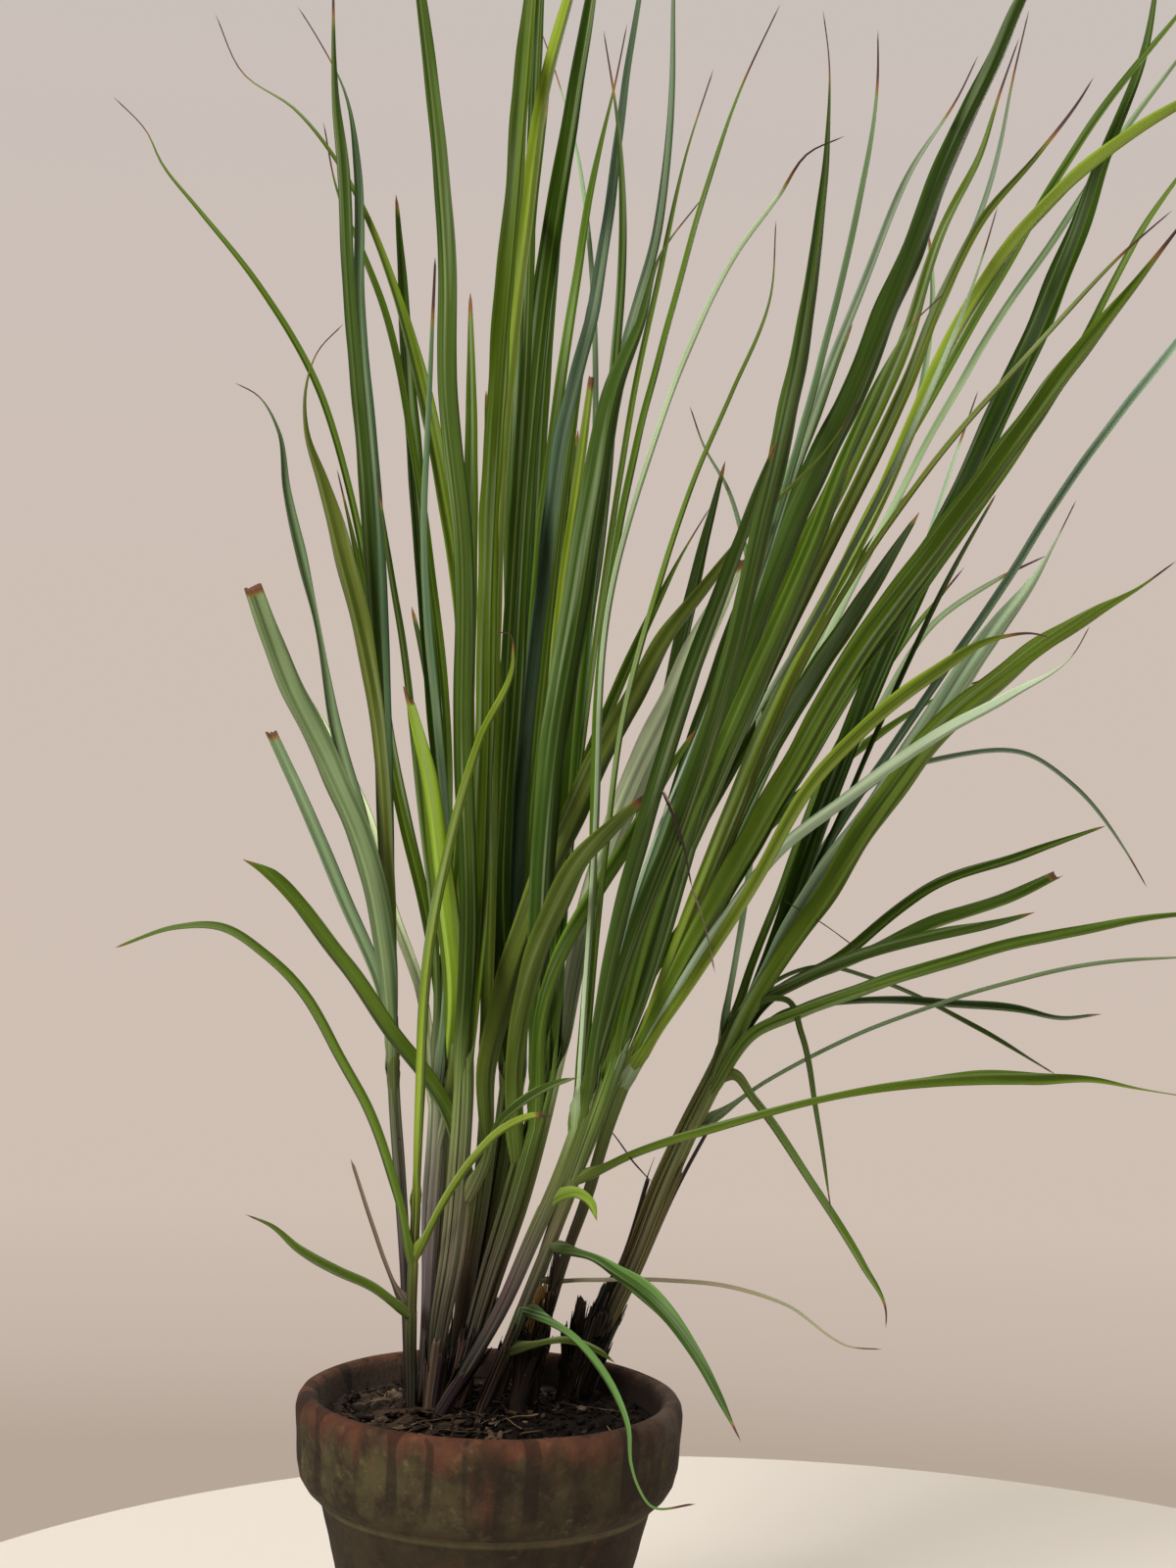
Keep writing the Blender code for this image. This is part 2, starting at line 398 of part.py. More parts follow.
def settle(leaves):
    """Moves the leaves' depths apart, along the sight lines only, where they would cross."""
    owners, tillers, spots, halves, thick, depths, freedom, shares = [], [], [], [], [], [], [], []
    tiller_names = list(TILLERS)
    for number, leaf in enumerate(leaves):
        count = LEAF_SAMPLES
        owners.append(np.full(count, number))
        tillers.append(np.full(count, tiller_names.index(leaf["tiller"])))
        spots.append(leaf["line"][:, :2])
        halves.append(leaf["line"][:, 2] / 2.0)
        thick.append(leaf["half"] * np.sin(leaf["turn"]) + LEAF_FOLD * leaf["half"] + LEAF_THICKNESS / 2)
        depths.append(leaf["depth"])
        freedom.append(np.clip(leaf["along"] / HELD_LENGTH, 0.0, 1.0))
        shares.append(leaf["along"] / leaf["along"][-1])
    for number, (stem_depths, stem, _) in enumerate(TILLERS.values()):
        line, depth = stem_line(stem_depths, stem)
        count = len(line)
        owners.append(np.full(count, len(leaves) + number))
        tillers.append(np.full(count, number))
        spots.append(line[:, :2])
        halves.append(line[:, 2] / 2.0)
        thick.append(line[:, 2] / 2.0 * STEM_FLATNESS)
        depths.append(depth)
        freedom.append(np.zeros(count))
        shares.append(np.zeros(count))
    owners, tillers, spots = np.concatenate(owners), np.concatenate(tillers), np.concatenate(spots)
    halves, thick, depths = np.concatenate(halves), np.concatenate(thick), np.concatenate(depths)
    freedom, shares = np.concatenate(freedom), np.concatenate(shares)
    first, second = close_pairs(owners, tillers, spots, halves, shares)
    same = tillers[first] == tillers[second]
    needed = thick[first] + thick[second] + np.where(same, OWN_CLEARANCE, CLEARANCE)
    side = pair_sides(first, second, owners, depths, shares)
    leaf_points = len(leaves) * LEAF_SAMPLES
    for _ in range(SETTLE_ROUNDS):
        lack = np.maximum(needed - side * (depths[first] - depths[second]), 0.0) * side
        push = np.bincount(first, lack, len(depths)) - np.bincount(second, lack, len(depths))
        hits = np.bincount(first, lack != 0, len(depths)) + np.bincount(second, lack != 0, len(depths))
        push = (push / np.maximum(hits, 1.0) * freedom)[:leaf_points].reshape(len(leaves), -1)
        for _ in range(PUSH_SMOOTHING):
            padded = np.pad(push, ((0, 0), (2, 2)), mode="edge")
            push = (padded[:, :-4] + 2 * padded[:, 1:-3] + 3 * padded[:, 2:-2]
                    + 2 * padded[:, 3:-1] + padded[:, 4:]) / 9.0
        depths[:leaf_points] += PUSH_GAIN * push.ravel() * freedom[:leaf_points]
    for number, leaf in enumerate(leaves):
        leaf["depth"] = depths[number * LEAF_SAMPLES:(number + 1) * LEAF_SAMPLES]


def close_pairs(owners, tillers, spots, halves, shares):
    """Sample pairs of different leaves and stems that cover each other seen from the front."""
    firsts, seconds = [], []
    for begin in range(0, len(owners), 400):
        end = min(begin + 400, len(owners))
        gap = np.hypot(spots[begin:end, None, 0] - spots[None, :, 0],
                       spots[begin:end, None, 1] - spots[None, :, 1])
        near = gap < halves[begin:end, None] + halves[None, :] + NEIGHBOUR_REACH
        near &= owners[begin:end, None] < owners[None, :]
        same = tillers[begin:end, None] == tillers[None, :]
        outer = (shares[begin:end, None] > OUTER_SHARE) & (shares[None, :] > OUTER_SHARE)
        rows, columns = np.nonzero(near & (outer | ~same))
        firsts.append(rows + begin)
        seconds.append(columns)
    return np.concatenate(firsts), np.concatenate(seconds)


def pair_sides(first, second, owners, depths, shares):
    """Which of each two is behind: +1 where the first is, told mostly by the lower ends."""
    groups, member = np.unique(owners[first] * 1000 + owners[second], return_inverse=True)
    weight = np.exp(-4.0 * (shares[first] + shares[second]))
    total = np.bincount(member, weight * (depths[first] - depths[second]), len(groups))
    return np.where(total[member] >= 0, 1.0, -1.0)


def unit(vectors):
    """Rows of vectors, each made one long."""
    return vectors / np.linalg.norm(vectors, axis=1)[:, None]


def leaf_frame(leaf):
    """Centres, width directions and upper-face directions along a leaf, in metres."""
    centres = in_space(leaf["line"], leaf["depth"]) * MM
    tangent = unit(np.gradient(centres, axis=0))
    sight = unit(centres - EYE * MM)
    sideways = unit(np.cross(sight, tangent))
    away = np.cross(tangent, sideways)
    facing = -1.0 if leaf["lean"] > 0 else 1.0
    inward = -1.0 if leaf["line"][-1, 0] > leaf["line"][0, 0] else 1.0
    turn = leaf["turn"][:, None]
    upper = facing * away * np.cos(turn) + inward * sideways * np.sin(turn)
    across = np.cross(tangent, upper)
    return centres, across, upper


def ring_places(leaf):
    """Which samples of a leaf get a ring of points: evenly spaced, with the two ends."""
    rings = int(np.clip(round(leaf["along"][-1] / LEAF_RING_SPACING), 4, 11))
    return np.round(np.linspace(0, LEAF_SAMPLES - 1, rings + 1)).astype(int)


def mesh_object(name, points, faces):
    """A new object from points in metres and faces."""
    mesh = bpy.data.meshes.new(name)
    mesh.from_pydata([tuple(point) for point in points], [], faces)
    mesh.update()
    thing = bpy.data.objects.new(name, mesh)
    bpy.context.scene.collection.objects.link(thing)
    return thing


def leaf_object(name, leaf):
    """A folded ribbon, thickest at its midrib, split into triangles alike on both faces."""
    centres, across, upper = leaf_frame(leaf)
    points, faces = [], []
    places = ring_places(leaf)
    for place in places:
        half = max(leaf["half"][place], LEAF_LEAST_HALF_WIDTH) * MM
        thickness = min(LEAF_THICKNESS * MM, half * 1.2)
        fold = LEAF_FOLD * half
        edge = centres[place] + upper[place] * fold / 2
        rib = centres[place] - upper[place] * fold / 2
        points.append(edge - across[place] * half)
        points.append(rib + upper[place] * thickness / 2)
        points.append(edge + across[place] * half)
        points.append(rib - upper[place] * thickness / 2)
    for ring in range(len(places) - 1):
        left, top, right, bottom = range(4 * ring, 4 * ring + 4)
        next_left, next_top, next_right, next_bottom = range(4 * ring + 4, 4 * ring + 8)
        faces += [(left, top, next_top), (left, next_top, next_left)]
        faces += [(top, right, next_right), (top, next_right, next_top)]
        faces += [(right, bottom, next_right), (bottom, next_bottom, next_right)]
        faces += [(bottom, left, next_bottom), (left, next_left, next_bottom)]
    last = len(points) - 4
    faces += [(0, 3, 1), (2, 1, 3)]
    faces += [(last, last + 1, last + 3), (last + 2, last + 3, last + 1)]
    return mesh_object(name, points, faces)


def tube_object(name, line, depth, sides, flatness, swell=0.0):
    """A closed tube along a line of the upright plane, a little wider by swell."""
    centres = in_space(line, depth) * MM
    tangent = unit(np.gradient(centres, axis=0))
    sight = unit(centres - EYE * MM)
    sideways = unit(np.cross(sight, tangent))
    away = np.cross(tangent, sideways)
    points, faces = [], []
    for centre, side, back, width in zip(centres, sideways, away, line[:, 2]):
        for corner in range(sides):
            angle = math.tau * (corner + 0.5) / sides
            reach = (width / 2 + swell) * MM
            depth_reach = (width / 2 * flatness + swell) * MM
            points.append(centre + side * math.cos(angle) * reach + back * math.sin(angle) * depth_reach)
    for ring in range(len(line) - 1):
        for corner in range(sides):
            low, low_next = ring * sides + corner, ring * sides + (corner + 1) % sides
            faces.append((low, low_next, low_next + sides, low + sides))
    faces.append(tuple(reversed(range(sides))))
    faces.append(tuple(range(len(points) - sides, len(points))))
    return mesh_object(name, points, faces)


def rooted_line(points, depths, rings):
    """A stem's line with the root that goes straight down into the soil."""
    line, along = smooth_line(points, rings)
    depth = depths[0] + (depths[1] - depths[0]) * along / along[-1]
    foot = line[0].copy()
    sunk = []
    for drop, share in ((STEM_ROOT, 0.7), (STEM_ROOT / 2, 0.9), (6.0, 1.0)):
        spot = foot.copy()
        spot[1] -= drop
        spot[2] *= share
        sunk.append(spot)
    line = np.vstack((sunk, line[1:]))
    depth = np.concatenate((np.full(3, depths[0]), depth[1:]))
    return line, depth


def socket_cutter(name, points, depths):
    """The plain hole in the soil that a stem or stub stands in, a little wider than the stem."""
    line, depth = rooted_line(points, depths, STEM_RINGS)
    line, depth = line[:5].copy(), depth[:5].copy()
    line[0, 1] -= SEAT_GAP
    cutter = tube_object(name, line, depth, STEM_SIDES, STEM_FLATNESS, swell=SEAT_GAP)
    cutter.hide_render = True
    cutter.display_type = "WIRE"
    return cutter


def apply_boolean(thing, operation, collection, solver="EXACT"):
    """Joins a collection to an object, or cuts it away, and removes the collection's objects."""
    modifier = thing.modifiers.new("shape", "BOOLEAN")
    modifier.operation = operation
    modifier.operand_type = "COLLECTION"
    modifier.collection = collection
    modifier.solver = solver
    graph = bpy.context.evaluated_depsgraph_get()
    mesh = bpy.data.meshes.new_from_object(thing.evaluated_get(graph))
    thing.modifiers.clear()
    thing.data = mesh
    for other in list(collection.objects):
        bpy.data.objects.remove(other)
    bpy.data.collections.remove(collection)


def gather(name, things):
    """A new collection that holds the given objects."""
    collection = bpy.data.collections.new(name)
    bpy.context.scene.collection.children.link(collection)
    for thing in things:
        for holder in list(thing.users_collection):
            holder.objects.unlink(thing)
        collection.objects.link(thing)
    return collection


def drop_hollows_and_scraps(work):
    """Keeps only the outer skin: a hollow that joining sealed, or a loose scrap, is removed."""
    islands, seen = [], set()
    for vertex in work.verts:
        if vertex in seen:
            continue
        island, waiting = [], [vertex]
        seen.add(vertex)
        while waiting:
            here = waiting.pop()
            island.append(here)
            for edge in here.link_edges:
                other = edge.other_vert(here)
                if other not in seen:
                    seen.add(other)
                    waiting.append(other)
        islands.append(island)
    islands.sort(key=len)
    for island in islands[:-1]:
        bmesh.ops.delete(work, geom=island, context="VERTS")


def tidy_mesh(thing, smallest=0.000002):
    """Leaves one closed skin of triangles, with no edge shorter than a few thousandths of a millimetre."""
    work = bmesh.new()
    work.from_mesh(thing.data)
    drop_hollows_and_scraps(work)
    bmesh.ops.triangulate(work, faces=work.faces[:])
    bmesh.ops.dissolve_degenerate(work, edges=work.edges[:], dist=smallest)
    bmesh.ops.triangulate(work, faces=work.faces[:])
    work.to_mesh(thing.data)
    work.free()


def give_material(thing, name, colour, roughness):
    """The plain material of one piece."""
    material = bpy.data.materials.new(name)
    material.use_nodes = True
    shader = material.node_tree.nodes["Principled BSDF"]
    shader.inputs["Base Color"].default_value = (*colour, 1.0)
    shader.inputs["Roughness"].default_value = roughness
    shader.inputs["Metallic"].default_value = 0.0
    thing.data.materials.clear()
    thing.data.materials.append(material)


def turned_object(name, profile):
    """A closed round body turned from a profile of (radius, height) points in millimetres."""
    work = bmesh.new()
    spots = [work.verts.new((radius * MM, 0.0, height * MM)) for radius, height in profile]
    edges = [work.edges.new(pair) for pair in zip(spots, spots[1:])]
    bmesh.ops.spin(work, geom=spots + edges, cent=(0, 0, 0), axis=(0, 0, 1),
                   angle=math.tau, steps=POT_SIDES, use_duplicate=False)
    bmesh.ops.remove_doubles(work, verts=work.verts[:], dist=0.00001)
    bmesh.ops.recalc_face_normals(work, faces=work.faces[:])
    mesh = bpy.data.meshes.new(name)
    work.to_mesh(mesh)
    work.free()
    thing = bpy.data.objects.new(name, mesh)
    bpy.context.scene.collection.objects.link(thing)
    return thing


def inner_radius(height):
    """Radius of the pot's inner wall at a height."""
    share = (height - FLOOR_THICKNESS) / (LIP_INNER_HEIGHT - FLOOR_THICKNESS)
    return FLOOR_RADIUS + (LIP_INNER_RADIUS - FLOOR_RADIUS) * share


def make_pot():
    """The fired clay pot: flat foot, tapering body, deep rounded band and rounded lip."""
    top = POT_HEIGHT
    band = BAND_BOTTOM_HEIGHT
    profile = [
        (0.0, 0.0), (FOOT_RADIUS - 2.5, 0.0), (FOOT_RADIUS, 2.5),
        (BODY_TOP_RADIUS, band - 4.5), (BODY_TOP_RADIUS + 1.6, band - 2.6),
        (BODY_TOP_RADIUS + 2.0, band - 0.6),
        (BODY_TOP_RADIUS + 4.6, band + 0.8), (91.8, band + 4.0), (95.2, band + 9.5), (96.9, band + 17.0),
        (RIM_RADIUS - 0.5, top - 16.0), (RIM_RADIUS, top - 8.0), (RIM_RADIUS - 0.7, top - 4.2),
        (RIM_RADIUS - 2.6, top - 1.3), (RIM_RADIUS - 5.4, top), (RIM_RADIUS - 8.3, top - 0.7),
        (LIP_INNER_RADIUS + 0.9, top - 3.0), (LIP_INNER_RADIUS, LIP_INNER_HEIGHT),
        (FLOOR_RADIUS, FLOOR_THICKNESS), (0.0, FLOOR_THICKNESS),
    ]
    pot = turned_object("pot", profile)
    cutters = []
    for number in range(DRAIN_HOLES):
        angle = math.tau * (number + 0.25) / DRAIN_HOLES
        bpy.ops.mesh.primitive_cylinder_add(
            vertices=16, radius=DRAIN_HOLE_RADIUS * MM, depth=3 * FLOOR_THICKNESS * MM,
            location=(DRAIN_HOLE_CIRCLE * MM * math.cos(angle), DRAIN_HOLE_CIRCLE * MM * math.sin(angle),
                      FLOOR_THICKNESS / 2 * MM))
        cutters.append(bpy.context.object)
    apply_boolean(pot, "DIFFERENCE", gather("drain holes", cutters))
    pot.data.shade_smooth()
    pot.data.set_sharp_from_angle(angle=math.radians(50))
    give_material(pot, "fired clay", TERRACOTTA, 0.85)


def soil_rise(across, back):
    """Height of the soil's surface over its level, in millimetres: a mound and low dips."""
    mound = CLUMP_RISE * math.exp(-((across - CLUMP_CENTRE[0])**2 + (back - CLUMP_CENTRE[1])**2)
                                  / (2 * CLUMP_SPREAD**2))
    dips = 0.9 * math.sin(across / 9.0 + 1.0) * math.cos(back / 11.0) + 0.5 * math.sin((across + back) / 5.0)
    return mound + dips


def make_soil(cutters):
    """The soil: fills the pot to a little under its rim, with a hole for each stem and stub."""
    wall = SEAT_GAP * 1.1
    low = FLOOR_THICKNESS + SEAT_GAP
    profile = [(0.0, low), (inner_radius(low) - wall, low), (inner_radius(SOIL_LEVEL) - wall, SOIL_LEVEL)]
    profile += [(radius, SOIL_LEVEL) for radius in SOIL_RINGS]
    profile.append((0.0, SOIL_LEVEL))
    soil = turned_object("soil", profile)
    edge = inner_radius(SOIL_LEVEL) - wall - 1.0
    for vertex in soil.data.vertices:
        across, back, height = vertex.co / MM
        if height > SOIL_LEVEL - 1.0 and math.hypot(across, back) < edge:
            vertex.co.z += soil_rise(across, back) * MM
    apply_boolean(soil, "DIFFERENCE", gather("sockets", cutters))
    tidy_mesh(soil)
    give_material(soil, "moist soil", DARK_SOIL, 0.95)


def old_sheath_objects(points, depths):
    """Torn dead sheaths that stand close round the foot of the thick stem, rooted in it."""
    line, depth = rooted_line(points, depths, STEM_RINGS)
    centres = in_space(line, depth) * MM
    foot, above = Vector(centres[3]), Vector(centres[6])
    rise = (above - foot).normalized()
    side = rise.cross(Vector((0, 1, 0))).normalized()
    back = rise.cross(side)
    scraps = []
    for number, (turn, height, width) in enumerate(OLD_SHEATHS):
        angle = math.radians(turn)
        outward = side * math.cos(angle) + back * math.sin(angle)
        around = rise.cross(outward)
        corners, faces = [], []
        for share, offset, wide in OLD_SHEATH_RINGS:
            centre = foot + rise * height * share * MM + outward * offset * MM
            half = around * wide * width / 2 * MM
            thin = outward * OLD_SHEATH_THICKNESS * MM
            corners += [centre - half, centre + thin, centre + half, centre - thin]
        for ring in range(3):
            for corner in range(4):
                low, low_next = 4 * ring + corner, 4 * ring + (corner + 1) % 4
                faces.append((low, low_next, low_next + 4, low + 4))
        faces += [(3, 2, 1, 0), (12, 13, 14, 15)]
        scraps.append(mesh_object("scrap_%d" % number, corners, faces))
    for scrap in scraps:
        work = bmesh.new()
        work.from_mesh(scrap.data)
        bmesh.ops.triangulate(work, faces=work.faces[:])
        bmesh.ops.recalc_face_normals(work, faces=work.faces[:])
        work.to_mesh(scrap.data)
        work.free()
    return scraps


def make_tillers(leaves):
    """Every leafy stem: a tube with its leaves, sunk in it by their roots, joined in one body."""
    for name, (depths, points, _) in TILLERS.items():
        line, depth = rooted_line(points, depths, STEM_RINGS)
        stem = tube_object(name, line, depth, STEM_SIDES, STEM_FLATNESS)
        own = [leaf for leaf in leaves if leaf["tiller"] == name]
        parts = [leaf_object("%s_leaf_%d" % (name, number), leaf) for number, leaf in enumerate(own)]
        if name == "tiller_12":
            parts += old_sheath_objects(points, depths)
        apply_boolean(stem, "UNION", gather(name + " leaves", parts), "MANIFOLD")
        tidy_mesh(stem)
        give_material(stem, name + " green", LEAF_GREEN, 0.5)


def make_stubs():
    """The old stem stubs, broken off at a slant."""
    for name, (depth, points) in STUBS.items():
        line, depths = rooted_line(points, (depth, depth), 4)
        stub = tube_object(name, line, depths, STEM_SIDES, STEM_FLATNESS)
        last = len(stub.data.vertices) - STEM_SIDES
        for number in range(STEM_SIDES):
            broken = STUB_BREAK * (0.2 + 0.8 * spread_value(number, 0.38))
            stub.data.vertices[last + number].co.z += broken * MM
        tidy_mesh(stub)
        give_material(stub, name + " dry stem", DRY_BROWN, 0.9)


def socket_cutters():
    """One cutter for each stem and each stub."""
    cutters = [socket_cutter("socket " + name, points, depths)
               for name, (depths, points, _) in TILLERS.items()]
    cutters += [socket_cutter("socket " + name, points, (depth, depth))
                for name, (depth, points) in STUBS.items()]
    return cutters


def main():
    for thing in list(bpy.data.objects):
        bpy.data.objects.remove(thing)
    leaves = lay_out_leaves()
    settle(leaves)
    make_pot()
    make_tillers(leaves)
    make_stubs()
    make_soil(socket_cutters())


main()
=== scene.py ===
"""Looks of the potted lemongrass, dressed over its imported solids, in metres."""

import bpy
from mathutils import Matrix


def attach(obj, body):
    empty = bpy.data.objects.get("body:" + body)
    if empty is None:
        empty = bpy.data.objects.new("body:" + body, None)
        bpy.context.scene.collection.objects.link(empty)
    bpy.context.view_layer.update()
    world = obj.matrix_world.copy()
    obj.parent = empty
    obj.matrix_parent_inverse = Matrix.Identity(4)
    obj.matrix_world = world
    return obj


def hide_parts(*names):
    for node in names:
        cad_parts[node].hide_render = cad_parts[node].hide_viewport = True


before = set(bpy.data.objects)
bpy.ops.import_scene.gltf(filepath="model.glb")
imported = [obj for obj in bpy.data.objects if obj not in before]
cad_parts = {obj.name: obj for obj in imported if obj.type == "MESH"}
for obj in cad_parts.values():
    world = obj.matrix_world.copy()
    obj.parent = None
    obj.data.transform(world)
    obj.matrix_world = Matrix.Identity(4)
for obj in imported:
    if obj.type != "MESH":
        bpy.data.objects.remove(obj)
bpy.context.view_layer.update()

import math
import random

import bpy
import numpy as np
from mathutils import Matrix, Vector, noise

MM = 0.001

# The pot, its soil and the mound round the clump, as in the solids, in millimetres
POT_HEIGHT = 180.0
RIM_RADIUS = 98.5
BAND_BOTTOM_HEIGHT = 129.0
BODY_TOP_RADIUS = 84.0
FOOT_RADIUS = 53.0
FLOOR_THICKNESS = 12.0
FLOOR_RADIUS = 47.0
LIP_INNER_RADIUS = 87.2
LIP_INNER_HEIGHT = 173.0
DRAIN_HOLE_RADIUS = 4.5
DRAIN_HOLE_CIRCLE = 25.0
DRAIN_HOLES = 3
SOIL_LEVEL = 166.0
SEAT_GAP = 0.35
CLUMP_CENTRE = (-18.0, 8.0)
CLUMP_RISE = 4.5
CLUMP_SPREAD = 34.0

# The camera's eye in millimetres, and how far the picture is rolled
EYE = np.array((39.2, -1250.0, 491.0))
PLANE_LEAN = math.radians(2.0)

# Stems and leaves as in the solids: sizes in millimetres, shares and numbers of samples
STEM_ROOT = 24.0
STEM_FLATNESS = 0.78
STEM_SAMPLES = 20
LEAF_SAMPLES = 64
LEAF_THICKNESS = 1.2
LEAF_FOLD = 0.34
LEAF_LEAN_POWER = 1.15
LEAF_LEAST_HALF_WIDTH = 0.45
LEAF_WIDTH_AT_STEM = 0.6

# How far leaves are turned out of the upright plane, in degrees, with what chance adds
TURN_AT_STEM = 8.0
TURN_AT_STEM_SPREAD = 20.0
TURN_AT_TIP = 12.0
TURN_AT_TIP_SPREAD = 34.0
TURN_WHERE_FLAT = 34.0
MOST_TURN = 60.0

# How leaves that would cross are moved apart, in millimetres, shares and rounds
CLEARANCE = 1.8
OWN_CLEARANCE = 0.6
NEIGHBOUR_REACH = 5.0
OUTER_SHARE = 0.3
LOWER_END_WEIGHT = 4.0
SETTLE_ROUNDS = 240
PUSH_GAIN = 1.2
PUSH_SMOOTHING = 16
HELD_LENGTH = 42.0

# The strips that leaves and dead scraps are copies of: their rings, and where their columns lie
LEAF_RINGS = 120
SHEATH_RINGS = 20
LEAF_COLUMNS = np.array((-1.0, -0.78, -0.46, -0.13, 0.0, 0.13, 0.46, 0.78, 1.0))
SCRAP_RINGS = 28
SCRAP_COLUMNS = np.array((-1.0, -0.5, 0.0, 0.5, 1.0))

# A strip's section: thickness and rib in millimetres or, where it is narrow, shares of half its width
STRIP_THICKNESS = 0.45
STRIP_THICKNESS_SHARE = 0.6
EDGE_THINNING = 0.45
RIB_HEIGHT = 0.45
RIB_SHARE = 0.12
RIB_WIDTH = 0.1
FOLD_ROUNDING = 0.012
FOLD_MIDDLE = 0.61
BLADE_WAVE = 0.28

# How sheaths wrap stems: heights and radii in millimetres, and shares of the stem's radius
LEAST_HALF_WIDTH = 0.28
SHEATH_ROOT = 4.0
SHEATH_DROP = 26.0
LEAST_JOIN_GAP = 4.0
SHEATH_SINK = 0.14
SHEATH_OVERLAP_STEP = 0.012
BUNDLE_FROM_RADIUS = 3.2
BUNDLE_RADIUS_SPAN = 2.0
BUNDLE_THINNING = 0.48
BUNDLE_SPREAD_HEIGHT = 110.0
THICK_STEM_WIDTH = 8.0

# How far a sheath goes round its stem in degrees, and how many millimetres it takes to open to a blade
SHEATH_ARC = (140, 168)
OPENING_LENGTH = 12.0
OPENING_PER_RADIUS = 6.0

# How a blade runs to its tip: in half widths, millimetres and shares of its length
TAPER_HALF_WIDTHS = 2.5
TAPER_LENGTH = 1.5
BLUNTEST_TIP = 0.12
HAIR_SHARE = 0.16
HAIR_END_SHARE = 0.02
HAIR_THINNING = 0.45

# Each leaf's pattern starts this many millimetres further on, so no two are alike
PATTERN_STEP = 500.0

# Ends: how ragged each kind is in millimetres, the slant of a torn one, and how many rings take part
RAGGED_ENDS = {"cut": 0.8, "torn": 4.0, "old": 7.0}
TORN_SLANT = 5.0
RAGGED_RINGS = 3

# Tips: the share of the leaf that is drying, and how dry it is at the very tip
DRYING_TIPS = {
    "hair": (0.085, 0.85),
    "brown": (0.10, 0.9),
    "point": (0.04, 0.4),
    "cut": (0.03, 0.5),
    "torn": (0.04, 0.5),
    "green": (0.04, 0.3),
}
LEAST_DRYING_LENGTH = 5.0

# The soil's clods and crumbs: how far apart and how high, in millimetres
CLOD_SIZE = 9.0
CLOD_HEIGHT = 1.6
CRUMB_SIZE = 2.6
CRUMB_HEIGHT = 1.1

# Straws: how far out their starts lie, their shortest and longest, and how far out they may reach
LITTER_REACH = 76.0
STRAW_LENGTH = (10, 46)
STRAW_END_REACH = 82.0

# The tube that stems are copies of, and how finely the rest is made
TUBE_SIDES = 24
TUBE_RINGS = 40
ROOT_RINGS = 3
POT_SIDES = 192
POT_STEP = 3.5
SOIL_SIDES = 180
CRUMBS = 1100
CHIPS = 90
STRAWS = 140
STRAW_POINTS = 5
LEAF_SCRAPS = 16
STUB_FIBRES = 24
STRAND_SAMPLES = 16

# Light from all round as a share of the backdrop's own, and the camera's lens in millimetres
ROOM_LIGHT = 0.62
CAMERA_LENS = 56.25

# The floor disc, and the point that the lights shine at, in metres
FLOOR_DISC_CENTRE = (0.16, -0.02)
FLOOR_DISC_RADIUS = 0.57
FLOOR_DISC_THICKNESS = 0.02
LIT_POINT = (0.03, 0.0, 0.40)

# The soft lights: place and size in metres, power in watts and colour
LIGHTS = {
    "key_window": ((-1.5, -1.9, 2.2), 1.2, 92.0, "#fff8ef"),
    "fill_right": ((1.9, -1.2, 1.0), 1.8, 8.0, "#fff6ea"),
    "rim_back": ((0.8, 1.9, 1.7), 2.0, 24.0, "#fffaf0"),
}

# The backdrop from low to high, between these two heights of the line of sight
BACKDROP_HEIGHTS = (-0.26, 0.30)
BACKDROP = [(0.0, "#b6a698"), (0.06, "#c4b4a8"), (0.16, "#cfbfb3"), (0.6, "#cebfb5"), (1.0, "#cac0ba")]

# Leaf tones, as sRGB hex
TONES = {
    "dark": "#2c4206",
    "mid": "#465f0b",
    "bright": "#69821a",
    "blue": "#4e664a",
    "grey": "#617a58",
    "fresh": "#42642c",
    "straw": "#6f6a52",
    "pale": "#8ba383",
    "milky": "#b3c198",
    "olive": "#4c5a16",
    "dry": "#6b5c52",
}

# Old stubs: depth, then (across, up from the rim, width) from the soil to the broken top
STUBS = {
    "stub_1": (4, [(14, -7, 7), (20, 24, 7), (26, 53, 7)]),
    "stub_2": (15, [(22, -7, 4), (28, 30, 4), (34, 69, 3.5)]),
    "stub_3": (30, [(37, -3, 6), (41, 12, 6), (47, 46, 5)]),
}

# Sheath colours of each stem at its foot, its middle and its top, as sRGB hex
SHEATH_TONES = {
    "tiller_01": ("#1f1916", "#453a3d", "#55643c"),
    "tiller_02": ("#201a14", "#4a4c24", "#647c2c"),
    "tiller_03": ("#2c2425", "#746a6a", "#7c8665"),
    "tiller_04": ("#201a18", "#605b48", "#687b40"),
    "tiller_05": ("#150f0d", "#3f3428", "#566f28"),
    "tiller_06": ("#120e0b", "#38371c", "#546e29"),
    "tiller_07": ("#0e0a09", "#312a1d", "#4f6721"),
    "tiller_08": ("#120d0e", "#433638", "#586e26"),
    "tiller_09": ("#100c0b", "#40382b", "#566e28"),
    "tiller_10": ("#0f0b0a", "#322b20", "#4e6323"),
    "tiller_11": ("#0f0c0b", "#2e2c18", "#4e6323"),
    "tiller_12": ("#0c0908", "#51482d", "#707c46"),
    "tiller_13": ("#181410", "#353020", "#4c5a2c"),
    "tiller_14": ("#181410", "#2c2a1a", "#465426"),
    "tiller_15": ("#130f0d", "#2e2a1a", "#465424"),
}

